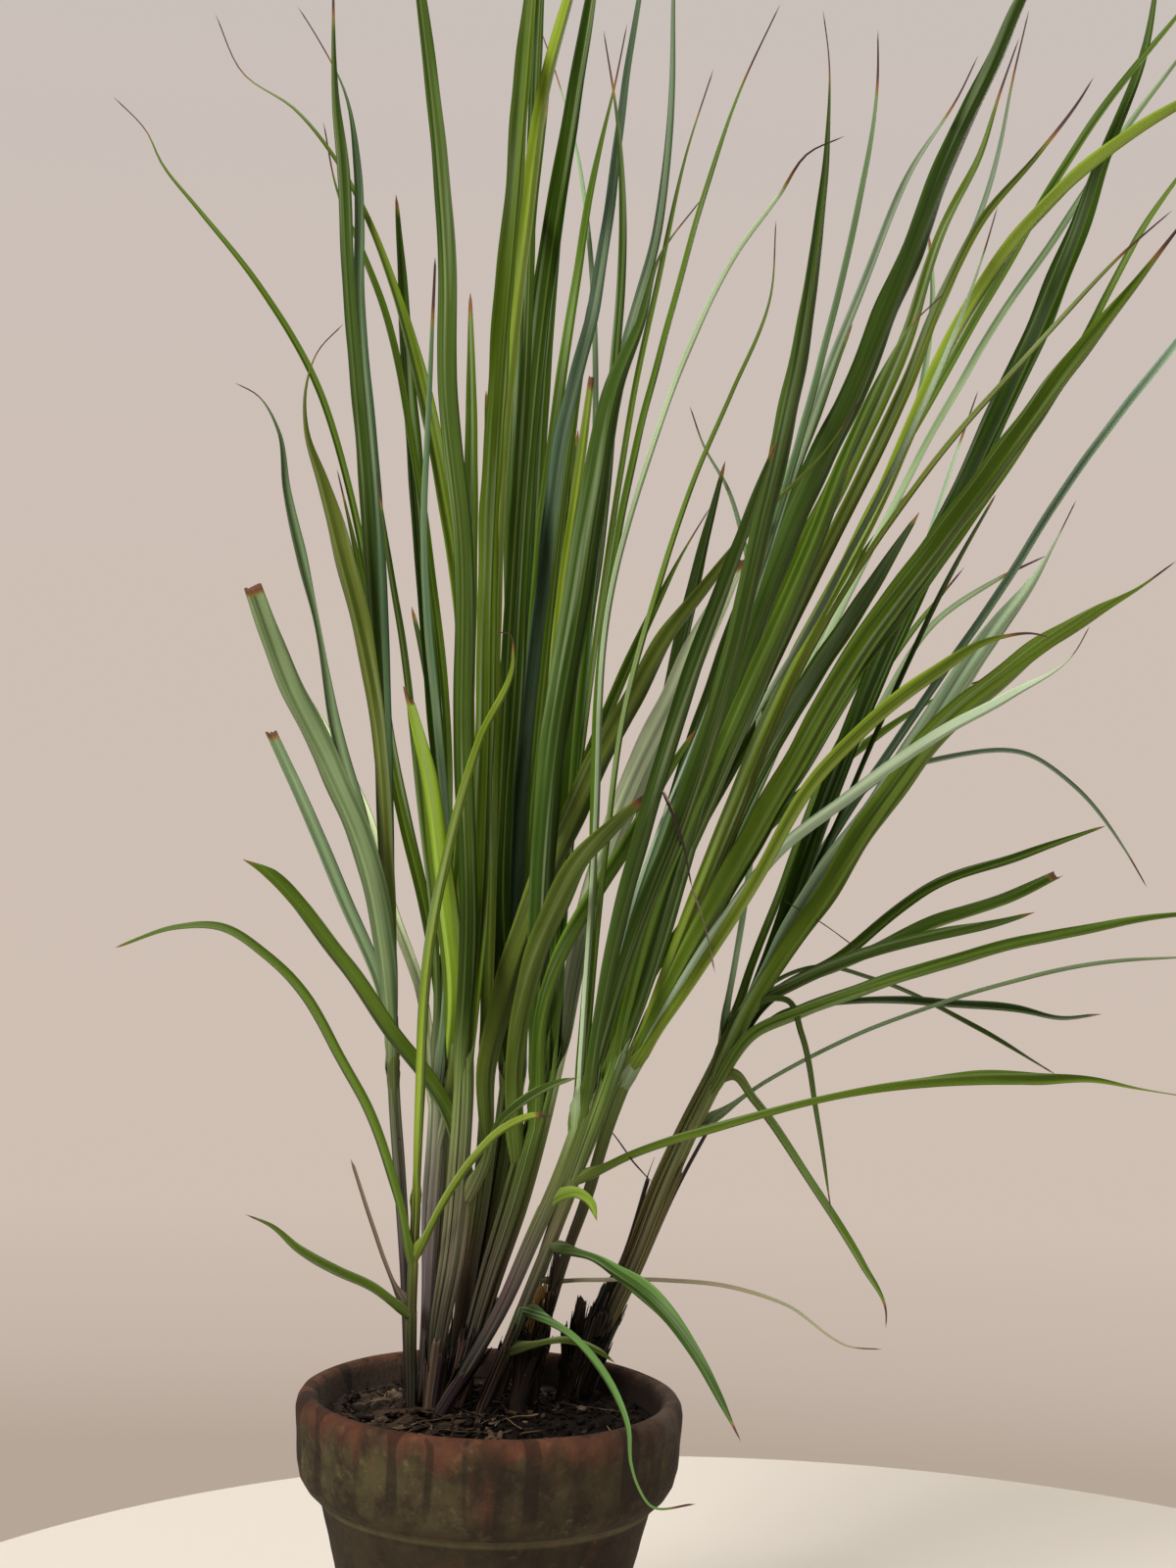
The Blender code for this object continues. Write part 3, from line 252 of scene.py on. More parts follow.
# Dead sheath scraps round the feet of the stems: how many on each, and the tallest, in millimetres
OLD_SHEATHS = {
    "tiller_01": (4, 34), "tiller_02": (3, 34), "tiller_03": (6, 44), "tiller_04": (7, 42),
    "tiller_05": (11, 56), "tiller_06": (10, 52), "tiller_07": (12, 56), "tiller_08": (6, 50),
    "tiller_09": (9, 54), "tiller_10": (14, 60), "tiller_11": (12, 58), "tiller_12": (16, 56),
    "tiller_13": (6, 44), "tiller_14": (6, 44), "tiller_15": (7, 48),
    "stub_1": (12, 54), "stub_2": (7, 46), "stub_3": (12, 46),
}

# Sheaths that have come away from the thick stem: from and to this height, their turn, flare and tone
PEELED_SHEATHS = (
    (40, 146, 8, 0.95, "#4b4238"),
    (30, 118, -24, 0.35, "#5a5532"),
    (52, 113, 178, 0.60, "#33241f"),
)

# The thick stem, and how slim its core is within its sheaths
THICK_STEM = "tiller_12"
THICK_STEM_CORE = 0.78

# Tones of dead sheath scraps, of bark and of straw, as sRGB hex
OLD_SHEATH_TONES = ("#1f1715", "#2e231d", "#40312a", "#16110f", "#5a4a3c", "#261c20")
DARK_SHEATH_TONES = ("#1a1412", "#120e0c", "#1f1714", "#2b211b")
BARK_TONES = ("#4c3d30", "#3a2d24", "#5c4a3a", "#2c221c", "#877862")
STRAW_TONES = ("#6b5b49", "#4d3e32", "#7d6d58", "#33271f", "#40342a", "#231b16", "#1c1512")

# Tones of each stub at its foot, its middle and its top
STUB_TONES = {
    "stub_1": ("#120e0b", "#2c2417", "#70542a"),
    "stub_2": ("#120e0c", "#1c1612", "#2a211a"),
    "stub_3": ("#120e0c", "#17120e", "#31271e"),
}

# One more tone among the fibres of each stub
STUB_FIBRE_TONES = {"stub_1": "#7d6030", "stub_2": "#2d241c", "stub_3": "#2d241c"}

# Loose dead strands caught in the leaves: tone, width, then (across, up) down the strand
STRANDS = (
    ("#54423f", 1.7, ((88, 306), (95, 290), (100, 272), (103, 257))),
    ("#d6c6b4", 1.3, ((88, 306), (91, 301), (95, 290))),
    ("#d6c6b4", 1.1, ((103, 257), (110, 236), (114.5, 214))),
    ("#1d1716", 1.3, ((62, 132), (66, 127), (72, 118), (82, 107))),
    ("#6b5550", 0.7, ((150, 250), (170, 238), (188, 225))),
)

# Leafy stems: depth at the soil and at the top, then the stem as (across, up, width) from the soil
# up, then its leaves: tone, kind of tip, height where it leaves the stem, lean to the back (+) or to
# the front (-) at its tip, and its line from stem to tip as (across, up, width)
TILLERS = {
    "tiller_01": ((12, 22),
        [(-41, -10, 5.5), (-43, 60, 6), (-46, 110, 6.5), (-49, 154, 6), (-50, 190, 6)], [
        ("mid", "hair", 180, 70, [(-55, 310, 4.5), (-62, 410, 4), (-72, 460, 3.5), (-88, 512, 3.5),
         (-118, 564, 3), (-150, 604, 2), (-168, 627, 1.5), (-175, 642, 1), (-192, 660, 1)]),
        ("dark", "hair", 170, -40, [(-52, 230, 6), (-58, 360, 6.5), (-64, 460, 6.5), (-72, 560, 6.5),
         (-76, 630, 6), (-79, 660, 4), (-80, 710, 2), (-80, 730, 1)]),
        ("blue", "hair", 174, 40, [(-51, 240, 5), (-58, 450, 6), (-67, 560, 5.5), (-68, 624, 4),
         (-74, 662, 1.5), (-88, 690, 1), (-98, 706, 1)]),
        ("grey", "cut", 164, -70, [(-54, 224, 11), (-63, 270, 12.5), (-82, 317, 12.5), (-102, 357, 12),
         (-122, 410, 9)]),
        ("grey", "cut", 154, 110, [(-54, 200, 6), (-74, 250, 7), (-91, 290, 6.5), (-112, 336, 5.5)]),
        ("grey", "hair", 172, 90, [(-54, 224, 6.5), (-66, 290, 8), (-78, 334, 6.5), (-89, 394, 3),
         (-96, 424, 5.5), (-104, 460, 4), (-108, 490, 2), (-119, 508, 1), (-130, 514, 1)]),
        ("olive", "hair", 160, -60, [(-52, 260, 6), (-59, 350, 8), (-69, 400, 10), (-76, 427, 10),
         (-86, 464, 6), (-94, 490, 2.5), (-94, 512, 1.5), (-88, 530, 1), (-75, 544, 1)]),
    ]),
    "tiller_02": ((0, -16),
        [(-40, -10, 5.5), (-40, 44, 5.5), (-38, 90, 5), (-36, 134, 4.5), (-34, 164, 4)], [
        ("bright", "hair", 90, -60, [(-36, 144, 4.5), (-31, 224, 5.5), (-19, 284, 5), (-5, 332, 4),
         (12, 374, 2.5), (10, 386, 1), (2, 387, 1)]),
        ("mid", "green", 64, -110, [(-48, 102, 4.5), (-62, 142, 5), (-78, 172, 5), (-95, 202, 5),
         (-115, 222, 4.5), (-138, 236, 4), (-160, 236, 2.5), (-191, 226, 1)]),
        ("mid", "hair", 38, -40, [(-56, 50, 4.5), (-78, 61, 5), (-98, 72, 4), (-112, 84, 2),
         (-125, 90, 1)]),
        ("dry", "dry", 40, 20, [(-50, 57, 2), (-60, 84, 2), (-71, 118, 1.5)]),
        ("bright", "brown", 67, -60, [(-30, 84, 3.5), (-20, 102, 4), (-7, 120, 4), (8, 134, 4),
         (22, 140, 3), (32, 140, 1.5)]),
    ]),
    "tiller_03": ((9, 14),
        [(-35, -10, 6), (-32, 40, 7), (-30, 90, 10), (-27, 134, 10), (-26, 174, 9)], [
        ("bright", "hair", 160, 60, [(-19, 230, 7), (-12, 320, 8), (-15, 400, 8), (-24, 460, 8),
         (-34, 510, 8), (-48, 560, 4.5), (-62, 597, 3), (-78, 627, 2), (-100, 654, 1.5), (-126, 672, 1),
         (-140, 702, 1)]),
        ("mid", "hair", 164, 110, [(-22, 260, 4), (-22, 340, 4), (-29, 410, 4), (-40, 484, 3.5),
         (-52, 544, 3.5), (-64, 578, 3), (-78, 612, 1.5), (-85, 647, 1)]),
        ("blue", "brown", 154, -30, [(-21, 260, 4), (-26, 330, 4), (-32, 390, 4), (-34, 434, 3.5),
         (-31, 510, 2.5), (-28, 578, 1)]),
        ("dark", "hair", 164, -50, [(-27, 220, 3.5), (-35, 294, 3.5), (-45, 384, 3.5), (-51, 420, 3),
         (-58, 470, 1)]),
        ("bright", "torn", 130, -36, [(-19, 200, 11), (-25, 260, 11.5), (-32, 314, 8.5), (-42, 356, 3.5)]),
        ("olive", "point", 124, -20, [(-16, 180, 8), (-18, 214, 9), (-19, 244, 8), (-20, 270, 1)]),
        ("olive", "cut", 144, 30, [(-13, 194, 6.5), (-12, 230, 7), (-11, 274, 2.5)]),
        ("milky", "point", 144, 130, [(-35, 204, 5.5), (-50, 244, 6), (-64, 294, 6), (-85, 337, 5.5),
         (-96, 357, 2)]),
    ]),
    "tiller_04": ((-2, -10),
        [(-30, -10, 8), (-26, 30, 10), (-19, 70, 12.5), (-15, 110, 13), (-12, 160, 12), (-12, 184, 10)], [
        ("dark", "point", 154, -50, [(-11, 230, 9), (-14, 334, 10), (-14, 430, 10), (-22, 510, 10),
         (-22, 570, 9.5), (-26, 630, 8), (-34, 700, 6), (-42, 760, 1.5)]),
        ("mid", "point", 164, 40, [(-6, 230, 9), (-2, 330, 10), (0, 430, 10), (5, 520, 10),
         (13, 614, 9), (20, 700, 7), (24, 744, 1.5)]),
        ("dark", "point", 97, -52, [(-7, 114, 3.5), (4, 138, 4), (16, 148, 4), (31, 156, 3), (45, 160, 1)]),
    ]),
    "tiller_05": ((13, 26),
        [(-24, -10, 7), (-16, 27, 9), (-10, 70, 10), (-5, 104, 11), (-2, 140, 11), (-1, 170, 10)], [
        ("dark", "point", 164, 110, [(3, 260, 6), (11, 410, 6), (18, 520, 6), (22, 640, 5.5),
         (26, 720, 4.5), (28, 750, 1.5)]),
        ("bright", "point", 160, -20, [(0, 244, 7), (2, 384, 8), (8, 504, 8), (17, 584, 7.5),
         (28, 664, 6.5), (41, 712, 5), (48, 737, 1.5)]),
        ("olive", "hair", 120, -120, [(-3, 164, 10), (5, 194, 12), (21, 242, 13), (42, 292, 13),
         (68, 344, 11), (95, 390, 8), (118, 420, 5), (141, 448, 2.5), (170, 478, 1), (190, 507, 1)]),
        ("mid", "green", 97, -90, [(-22, 146, 7.5), (-50, 182, 8), (-75, 218, 8), (-98, 247, 7),
         (-117, 266, 5), (-126, 271, 2)]),
    ]),
    "tiller_06": ((15, 48),
        [(-15, -10, 7), (-9, 34, 9), (0, 74, 10), (7, 114, 11), (12, 150, 10), (16, 184, 9)], [
        # Its dark tone is partly painted shade, for the crowded middle of the clump
        ("dark", "point", 160, 30, [(6, 260, 11), (12, 360, 12), (18, 460, 12), (28, 562, 11),
         (43, 657, 8), (52, 710, 5.5), (57, 744, 1.5)]),
        ("pale", "hair", 150, 150, [(30, 280, 3), (49, 410, 3), (54, 510, 3), (51, 584, 2.5),
         (44, 634, 2), (33, 674, 1), (26, 694, 1)]),
        ("blue", "point", 154, 80, [(15, 284, 7), (30, 430, 7.5), (38, 490, 7.5), (53, 550, 6.5),
         (63, 614, 5), (70, 670, 3.5), (78, 720, 2), (81, 740, 1)]),
        ("mid", "hair", 164, 140, [(18, 300, 5.5), (28, 450, 5.5), (36, 510, 5.5), (44, 564, 4.5),
         (54, 624, 3), (64, 667, 1.5), (70, 697, 1)]),
        ("dark", "point", 170, 170, [(11, 260, 7.5), (20, 360, 9), (24, 460, 8.5), (30, 544, 6),
         (36, 594, 1.5)]),
    ]),
    "tiller_07": ((1, -4),
        [(-19, -10, 8), (-10, 22, 10), (1, 60, 12), (12, 94, 14), (22, 130, 14), (31, 164, 12)], [
        ("dark", "hair", 154, 40, [(36, 270, 6), (46, 364, 6), (56, 434, 6), (64, 524, 5), (68, 590, 4),
         (66, 640, 2.5), (58, 694, 1)]),
        ("blue", "point", 160, 90, [(39, 280, 7), (52, 410, 7), (60, 484, 7), (72, 540, 6),
         (84, 582, 5), (92, 644, 3.5), (94, 722, 1.5)]),
        ("mid", "hair", 160, 130, [(45, 310, 3), (61, 430, 3), (74, 510, 3), (89, 580, 2.5),
         (100, 630, 1.5), (114, 674, 1)]),
        ("bright", "cut", 150, -40, [(28, 260, 5), (36, 400, 5), (46, 470, 5), (52, 517, 3)]),
        ("dark", "hair", 144, -80, [(26, 240, 12), (33, 330, 14), (45, 402, 15), (54, 460, 14),
         (64, 512, 10), (78, 547, 4.5), (86, 577, 2), (108, 608, 1)]),
        ("olive", "brown", 114, -100, [(15, 172, 9.5), (22, 214, 11), (37, 251, 12), (50, 274, 10),
         (70, 294, 6), (90, 310, 1.5)]),
        ("mid", "point", 134, -60, [(30, 204, 7), (46, 240, 8), (68, 274, 7.5), (88, 310, 5),
         (105, 337, 1.5)]),
        ("milky", "cut", 160, 160, [(50, 244, 11), (74, 310, 14), (98, 360, 14), (114, 394, 11),
         (128, 424, 5)]),
        ("dark", "point", 170, 10, [(35, 234, 9), (42, 334, 10), (50, 410, 9), (58, 470, 5),
         (62, 502, 1.5)]),
        # Its dark tone is partly painted shade, for the crowded middle of the clump
        ("dark", "point", 174, 120, [(30, 210, 8), (34, 310, 9), (39, 384, 8), (42, 450, 4),
         (45, 490, 1.5)]),
    ]),
    "tiller_08": ((-12, -44),
        [(-26, -13, 6.5), (-11, 12, 7.5), (6, 42, 8.5), (22, 78, 9), (36, 110, 9), (48, 144, 8)], [
        ("mid", "hair", 130, -110, [(52, 244, 4), (56, 364, 4), (65, 434, 4), (78, 494, 3.5),
         (94, 554, 3), (110, 612, 2.5), (128, 664, 1.5), (148, 707, 1)]),
        ("pale", "hair", 134, -150, [(54, 284, 3), (62, 407, 3), (86, 490, 3), (104, 537, 3),
         (126, 580, 2.5), (148, 610, 2.5), (162, 631, 1.5), (181, 640, 1)]),
        ("mid", "hair", 140, -60, [(59, 274, 3), (69, 347, 3), (86, 410, 3), (104, 464, 2.5),
         (124, 510, 2), (143, 557, 1.5), (146, 597, 1)]),
        ("dark", "hair", 134, -90, [(70, 220, 8), (102, 304, 10), (121, 364, 10), (140, 444, 10),
         (155, 510, 10), (165, 570, 6.5), (172, 634, 3), (173, 680, 1), (170, 704, 1)]),
        ("blue", "hair", 140, -30, [(80, 260, 4), (119, 364, 4), (151, 460, 4), (169, 524, 3.5),
         (186, 594, 3), (198, 670, 2), (198, 694, 1)]),
        ("pale", "hair", 144, 20, [(75, 250, 5), (118, 360, 5.5), (156, 474, 6), (170, 512, 5),
         (192, 567, 4), (216, 624, 3), (240, 662, 1.5), (249, 681, 1)]),
        ("bright", "green", 92, -14, [(35, 98, 4), (44, 100, 4.5), (50, 96, 4.5), (54, 86, 1.5)]),
        ("dark", "point", 144, -140, [(64, 230, 8), (84, 304, 9), (103, 364, 9), (124, 422, 7),
         (146, 484, 1.5)]),
    ]),
    "tiller_09": ((-3, -20),
        [(-5, -10, 6.5), (8, 20, 7), (20, 50, 7), (33, 82, 7), (45, 114, 7), (56, 144, 8),
         (67, 174, 9)], [
        ("dark", "point", 160, -70, [(80, 214, 12), (109, 310, 14), (135, 390, 14), (161, 456, 14),
         (187, 512, 13), (211, 570, 12), (237, 634, 10), (258, 677, 8), (274, 714, 5.5), (289, 744, 1.5)]),
        ("mid", "hair", 164, 20, [(95, 260, 8.5), (150, 404, 10), (200, 507, 9.5), (213, 537, 7),
         (231, 592, 4.5), (250, 630, 3.5), (261, 664, 2), (270, 690, 1)]),
        ("mid", "hair", 160, -110, [(85, 250, 6), (125, 344, 7), (165, 434, 7), (182, 477, 6.5),
         (202, 520, 4.5), (214, 542, 1.5), (232, 560, 1)]),
        ("olive", "hair", 164, 60, [(100, 270, 6), (165, 414, 7), (212, 510, 7), (232, 560, 5),
         (252, 598, 4), (280, 631, 3), (302, 660, 2), (308, 670, 1)]),
        ("pale", "hair", 170, 120, [(100, 284, 3), (190, 470, 3), (235, 564, 3), (255, 614, 2.5),
         (268, 674, 1.5), (275, 704, 1)]),
        ("pale", "hair", 170, 90, [(95, 270, 2.5), (175, 410, 3), (235, 534, 2.5), (251, 577, 1.5),
         (259, 604, 1)]),
        ("mid", "hair", 107, -50, [(80, 123, 4), (110, 132, 4.5), (160, 146, 3.5), (190, 152, 3.5),
         (220, 156, 5), (250, 158, 7), (280, 158, 6), (308, 158, 2.5), (330, 154, 1), (368, 148, 1)]),
        ("fresh", "hair", 74, -90, [(50, 69, 3.5), (65, 60, 7), (76, 53, 9.5), (91, 38, 8),
         (104, 20, 6), (116, -2, 4), (128, -26, 1)]),
        ("fresh", "brown", 42, -120, [(30, 36, 3), (52, 17, 4), (63, 0, 3.6), (70, -18, 2.6),
         (72, -38, 1.5), (75, -48, 1.2), (82, -59, 1), (105, -58, 0.8)]),
        ("olive", "point", 20, -12, [(22, 24, 2.5), (40, 25, 3.5), (55, 20, 3), (64, 14, 1)]),
        ("dark", "point", 164, -20, [(82, 230, 9), (111, 300, 10), (141, 370, 10), (166, 430, 8),
         (184, 474, 1.5)]),
        ("mid", "point", 154, 150, [(75, 220, 7), (96, 280, 8), (120, 340, 7), (138, 384, 1.5)]),
    ]),
    "tiller_10": ((24, 40),
        [(12, -8, 5.5), (28, 34, 5.5), (39, 70, 5.5), (49, 97, 6), (60, 134, 6.5), (74, 170, 8),
         (82, 190, 9)], [
        ("bright", "point", 164, -30, [(102, 244, 6), (150, 360, 7), (202, 460, 7), (228, 520, 7),
         (256, 570, 7), (290, 610, 6.5), (330, 642, 5.5), (375, 668, 3), (395, 678, 1)]),
        ("mid", "point", 170, 100, [(120, 280, 4), (190, 440, 4), (260, 567, 4), (286, 612, 4),
         (315, 656, 3.5), (350, 700, 2), (366, 720, 1)]),
        ("pale", "point", 170, 140, [(125, 280, 3.5), (190, 420, 3.5), (238, 510, 3.5), (260, 547, 3.5),
         (290, 590, 3.5), (325, 644, 3), (365, 697, 1)]),
        ("olive", "hair", 164, -90, [(118, 270, 3), (165, 380, 3), (205, 444, 3), (232, 480, 3),
         (280, 534, 2.5), (325, 582, 2), (348, 602, 1)]),
        ("mid", "point", 174, 60, [(140, 300, 3.5), (225, 414, 3.5), (289, 510, 3.5), (316, 560, 3.5),
         (332, 590, 3), (362, 634, 1)]),
        ("mid", "hair", 164, -120, [(102, 224, 10), (150, 310, 12), (192, 382, 12.5), (231, 434, 12.5),
         (268, 484, 12), (300, 527, 9), (329, 564, 5), (362, 607, 1)]),
        ("bright", "hair", 160, -150, [(130, 250, 6), (170, 316, 7), (192, 338, 7), (225, 364, 7),
         (260, 384, 3), (278, 386, 1.5), (286, 384, 1)]),
        ("pale", "hair", 154, -60, [(118, 237, 6), (150, 277, 6), (185, 304, 6), (225, 332, 6),
         (265, 354, 4.5), (298, 376, 1), (306, 390, 1)]),
        ("pale", "point", 174, 180, [(120, 280, 3), (180, 410, 3), (220, 510, 3), (226, 560, 2.5),
         (224, 590, 1)]),
        ("dark", "point", 170, 20, [(105, 240, 9), (134, 310, 10), (166, 364, 10), (196, 410, 7.5),
         (219, 448, 1.5)]),
        ("mid", "point", 160, 80, [(108, 230, 7), (145, 294, 8), (185, 360, 7), (226, 426, 1.5)]),
    ]),
    "tiller_11": ((22, 50),
        [(2, -8, 3.5), (20, 40, 3.5), (32, 74, 3.5), (41, 97, 3)], [
        ("straw", "hair", 56, -30, [(50, 56, 2), (90, 56, 2), (120, 53, 2), (150, 44, 1.5),
         (185, 22, 1), (200, 21, 1)]),
        ("olive", "hair", 90, 60, [(56, 134, 2.5), (75, 180, 2.5), (88, 210, 1.5), (95, 228, 1)]),
    ]),
    "tiller_12": ((52, 84),
        [(46, 0, 17), (56, 30, 16.5), (72, 64, 15.5), (89, 107, 16), (103, 137, 15), (118, 167, 14),
         (126, 187, 12)], [
        ("dark", "point", 170, 60, [(144, 224, 9), (172, 300, 10.5), (202, 374, 12), (240, 454, 12),
         (277, 534, 12), (298, 584, 11), (315, 632, 6.5), (334, 682, 4), (342, 730, 1)]),
        ("pale", "hair", 174, 150, [(134, 290, 3), (135, 400, 2.5), (129, 434, 2.5), (121, 460, 2),
         (109, 482, 1.5), (102, 502, 1)]),
        # Its pale tone is partly painted light, for a leaf lit from behind
        ("pale", "point", 170, 130, [(160, 257, 4), (215, 342, 4), (258, 404, 4), (302, 472, 4),
         (350, 534, 3.5), (382, 574, 1)]),
        ("pale", "hair", 180, 110, [(165, 280, 2.5), (210, 390, 2.5), (231, 457, 2), (249, 510, 1)]),
        ("dark", "point", 174, 20, [(170, 274, 2.5), (215, 374, 2.5), (232, 410, 2.5), (258, 457, 1)]),
        ("pale", "hair", 170, -20, [(165, 252, 12), (202, 302, 13.5), (225, 337, 13.5), (242, 364, 12),
         (260, 390, 9.5), (276, 411, 5), (288, 432, 1.5), (299, 454, 1)]),
        ("pale", "hair", 180, 180, [(150, 257, 3), (195, 342, 3), (230, 394, 3), (260, 414, 2.5),
         (284, 426, 1)]),
        ("mid", "hair", 174, 70, [(145, 244, 4), (180, 332, 4), (212, 382, 3), (242, 420, 1)]),
        ("mid", "hair", 154, -60, [(135, 200, 8), (170, 250, 11), (202, 300, 12.5), (235, 342, 12.5),
         (270, 370, 10), (310, 397, 6), (329, 408, 2.5), (350, 423, 1)]),
        ("pale", "hair", 180, 150, [(165, 270, 2), (200, 312, 2), (230, 322, 2), (275, 324, 2),
         (298, 308, 2), (325, 274, 1.5), (335, 257, 1)]),
        ("mid", "point", 164, 40, [(145, 202, 5), (175, 218, 5.5), (225, 256, 5), (275, 274, 4),
         (314, 288, 1)]),
        ("mid", "cut", 154, 100, [(150, 204, 5), (178, 216, 5.5), (225, 237, 5.5), (272, 254, 5.5),
         (290, 263, 4)]),
        ("dark", "point", 160, -30, [(130, 190, 6), (155, 206, 6), (198, 224, 6), (250, 236, 4.5),
         (278, 244, 1)]),
        ("mid", "point", 152, -80, [(135, 184, 6), (160, 194, 6.5), (202, 208, 6.5), (250, 223, 6),
         (300, 234, 5), (345, 242, 2.5), (370, 244, 1)]),
        ("pale", "hair", 134, 60, [(135, 156, 2), (162, 170, 2), (232, 198, 2), (305, 217, 2),
         (368, 222, 1)]),
        ("dark", "point", 170, 130, [(150, 194, 2), (178, 198, 2.5), (200, 199, 3.5), (232, 197, 4),
         (270, 194, 3.5), (292, 190, 2), (312, 192, 1)]),
        ("mid", "hair", 180, 170, [(145, 208, 2), (168, 216, 2), (195, 210, 2), (250, 184, 2),
         (289, 161, 1)]),
        ("dark", "hair", 174, -60, [(140, 198, 3), (151, 198, 3), (158, 182, 3), (166, 144, 2.5),
         (174, 92, 1)]),
        ("mid", "hair", 154, -100, [(124, 160, 3), (134, 148, 4), (160, 111, 4), (190, 64, 3.5),
         (202, 40, 1.5), (202, 32, 1)]),
    ]),
    "tiller_13": ((24, 80),
        [(-30, -8, 6), (-27, 40, 7.5), (-25, 90, 8.5), (-22, 140, 8), (-19, 180, 7)], [
        ("dark", "point", 160, 150, [(-22, 260, 7), (-30, 360, 8), (-38, 460, 8), (-44, 544, 6),
         (-48, 610, 1.5)]),
        ("mid", "point", 170, 190, [(-15, 270, 6), (-10, 390, 7), (-9, 494, 6), (-10, 560, 1.5)]),
        ("mid", "hair", 154, 110, [(-30, 230, 6), (-48, 310, 7), (-60, 380, 6), (-69, 430, 3),
         (-78, 470, 1)]),
        ("dark", "point", 150, 200, [(-19, 240, 6), (-24, 310, 6.5), (-32, 364, 4), (-40, 400, 1.5)]),
    ]),
    "tiller_14": ((27, 100),
        [(-16, -6, 6), (-8, 40, 7.5), (-1, 84, 8.5), (5, 130, 8), (10, 170, 7)], [
        ("dark", "point", 160, 170, [(10, 270, 8), (12, 390, 9), (15, 510, 8.5), (22, 604, 6),
         (30, 664, 1.5)]),
        ("mid", "point", 170, 210, [(18, 270, 7), (30, 390, 7.5), (42, 494, 6), (52, 560, 1.5)]),
        ("dark", "point", 154, 130, [(6, 250, 6), (2, 350, 7), (0, 440, 6), (-2, 510, 1.5)]),
        ("mid", "hair", 150, 220, [(22, 230, 5), (50, 320, 6), (80, 390, 4.5), (100, 430, 1.5),
         (112, 450, 1)]),
    ]),
    "tiller_15": ((36, 96),
        [(4, -4, 5.5), (18, 40, 7), (31, 80, 8), (44, 120, 7.5), (56, 160, 7)], [
        ("dark", "point", 160, 160, [(75, 234, 8), (105, 330, 9), (135, 414, 8.5), (165, 494, 6),
         (185, 544, 1.5)]),
        ("mid", "point", 164, 200, [(80, 230, 7), (125, 320, 8), (175, 400, 7), (215, 460, 1.5)]),
        ("dark", "point", 154, 120, [(65, 230, 7), (85, 320, 8), (102, 400, 7), (120, 474, 1.5)]),
        ("mid", "hair", 144, 220, [(82, 210, 5), (135, 280, 6), (185, 324, 5), (230, 354, 1.5),
         (255, 364, 1)]),
    ]),
}


def linear(hex_colour):
    """An sRGB hex colour as linear red, green, blue and alpha."""
    parts = [int(hex_colour[place:place + 2], 16) / 255 for place in (1, 3, 5)]
    return tuple(p / 12.92 if p <= 0.04045 else ((p + 0.055) / 1.055) ** 2.4 for p in parts) + (1.0,)


def tone_of(hex_colour):
    """An sRGB hex colour as an array of linear red, green and blue."""
    return np.array(linear(hex_colour)[:3])


def add_node(tree, kind, inputs=(), output=0, **settings):
    """Adds a node with its settings, gives or links its inputs, and returns one of its outputs.

    The inputs go by socket name, or in the order of the sockets, and each is a number, a vector,
    a hex colour or the output of another node.
    """
    node = tree.nodes.new("ShaderNode" + kind)
    for name, value in settings.items():
        setattr(node, name, value)
    for place, value in inputs.items() if isinstance(inputs, dict) else enumerate(inputs):
        if isinstance(value, bpy.types.NodeSocket):
            tree.links.new(value, node.inputs[place])
        else:
            node.inputs[place].default_value = linear(value) if isinstance(value, str) else value
    return node.outputs[output]


def new_material(name, settings):
    """A material with one Principled shader, its tree and the shader."""
    material = bpy.data.materials.new(name)
    material.use_nodes = True
    shader = material.node_tree.nodes["Principled BSDF"]
    for socket, value in settings.items():
        shader.inputs[socket].default_value = value
    return material, material.node_tree, shader


def pattern(tree, place, sizes, detail=3.0, roughness=0.55):
    """Noise over a place, its patches this long on each axis in millimetres."""
    scale = [1 / (size * MM) for size in sizes]
    stretched = add_node(tree, "Mapping", {"Vector": place, "Scale": scale})
    return add_node(tree, "TexNoise", {"Vector": stretched, "Scale": 1.0, "Detail": detail,
                                       "Roughness": roughness})


def share_where(tree, share, *zones):
    """A share, kept only where every zone is full.

    A zone is a factor with the value at which the zone is empty and the value at which it is full.
    """
    for factor, empty, full in zones:
        filled = add_node(tree, "MapRange", (factor, empty, full))
        share = add_node(tree, "Math", (filled, share), operation="MULTIPLY")
    return share


def lay_over(tree, colour, over, share, *zones):
    """A colour with another laid over it, by a share and where every zone is full."""
    return add_node(tree, "MixRGB", (share_where(tree, share, *zones), colour, over))


def graded(tree, factor, stops):
    """A colour that runs along a factor through (value, hex colour) stops."""
    (start, colour), *later = stops
    for end, over in later:
        colour = lay_over(tree, colour, over, 1.0, (factor, start, end))
        start = end
    return colour


def finish_colour(tree, shader, colour, height, distance, strength=1.0):
    """Links a colour and a bump height to the shader."""
    bump = add_node(tree, "Bump", {"Height": height, "Distance": distance, "Strength": strength})
    tree.links.new(colour, shader.inputs["Base Color"])
    tree.links.new(bump, shader.inputs["Normal"])


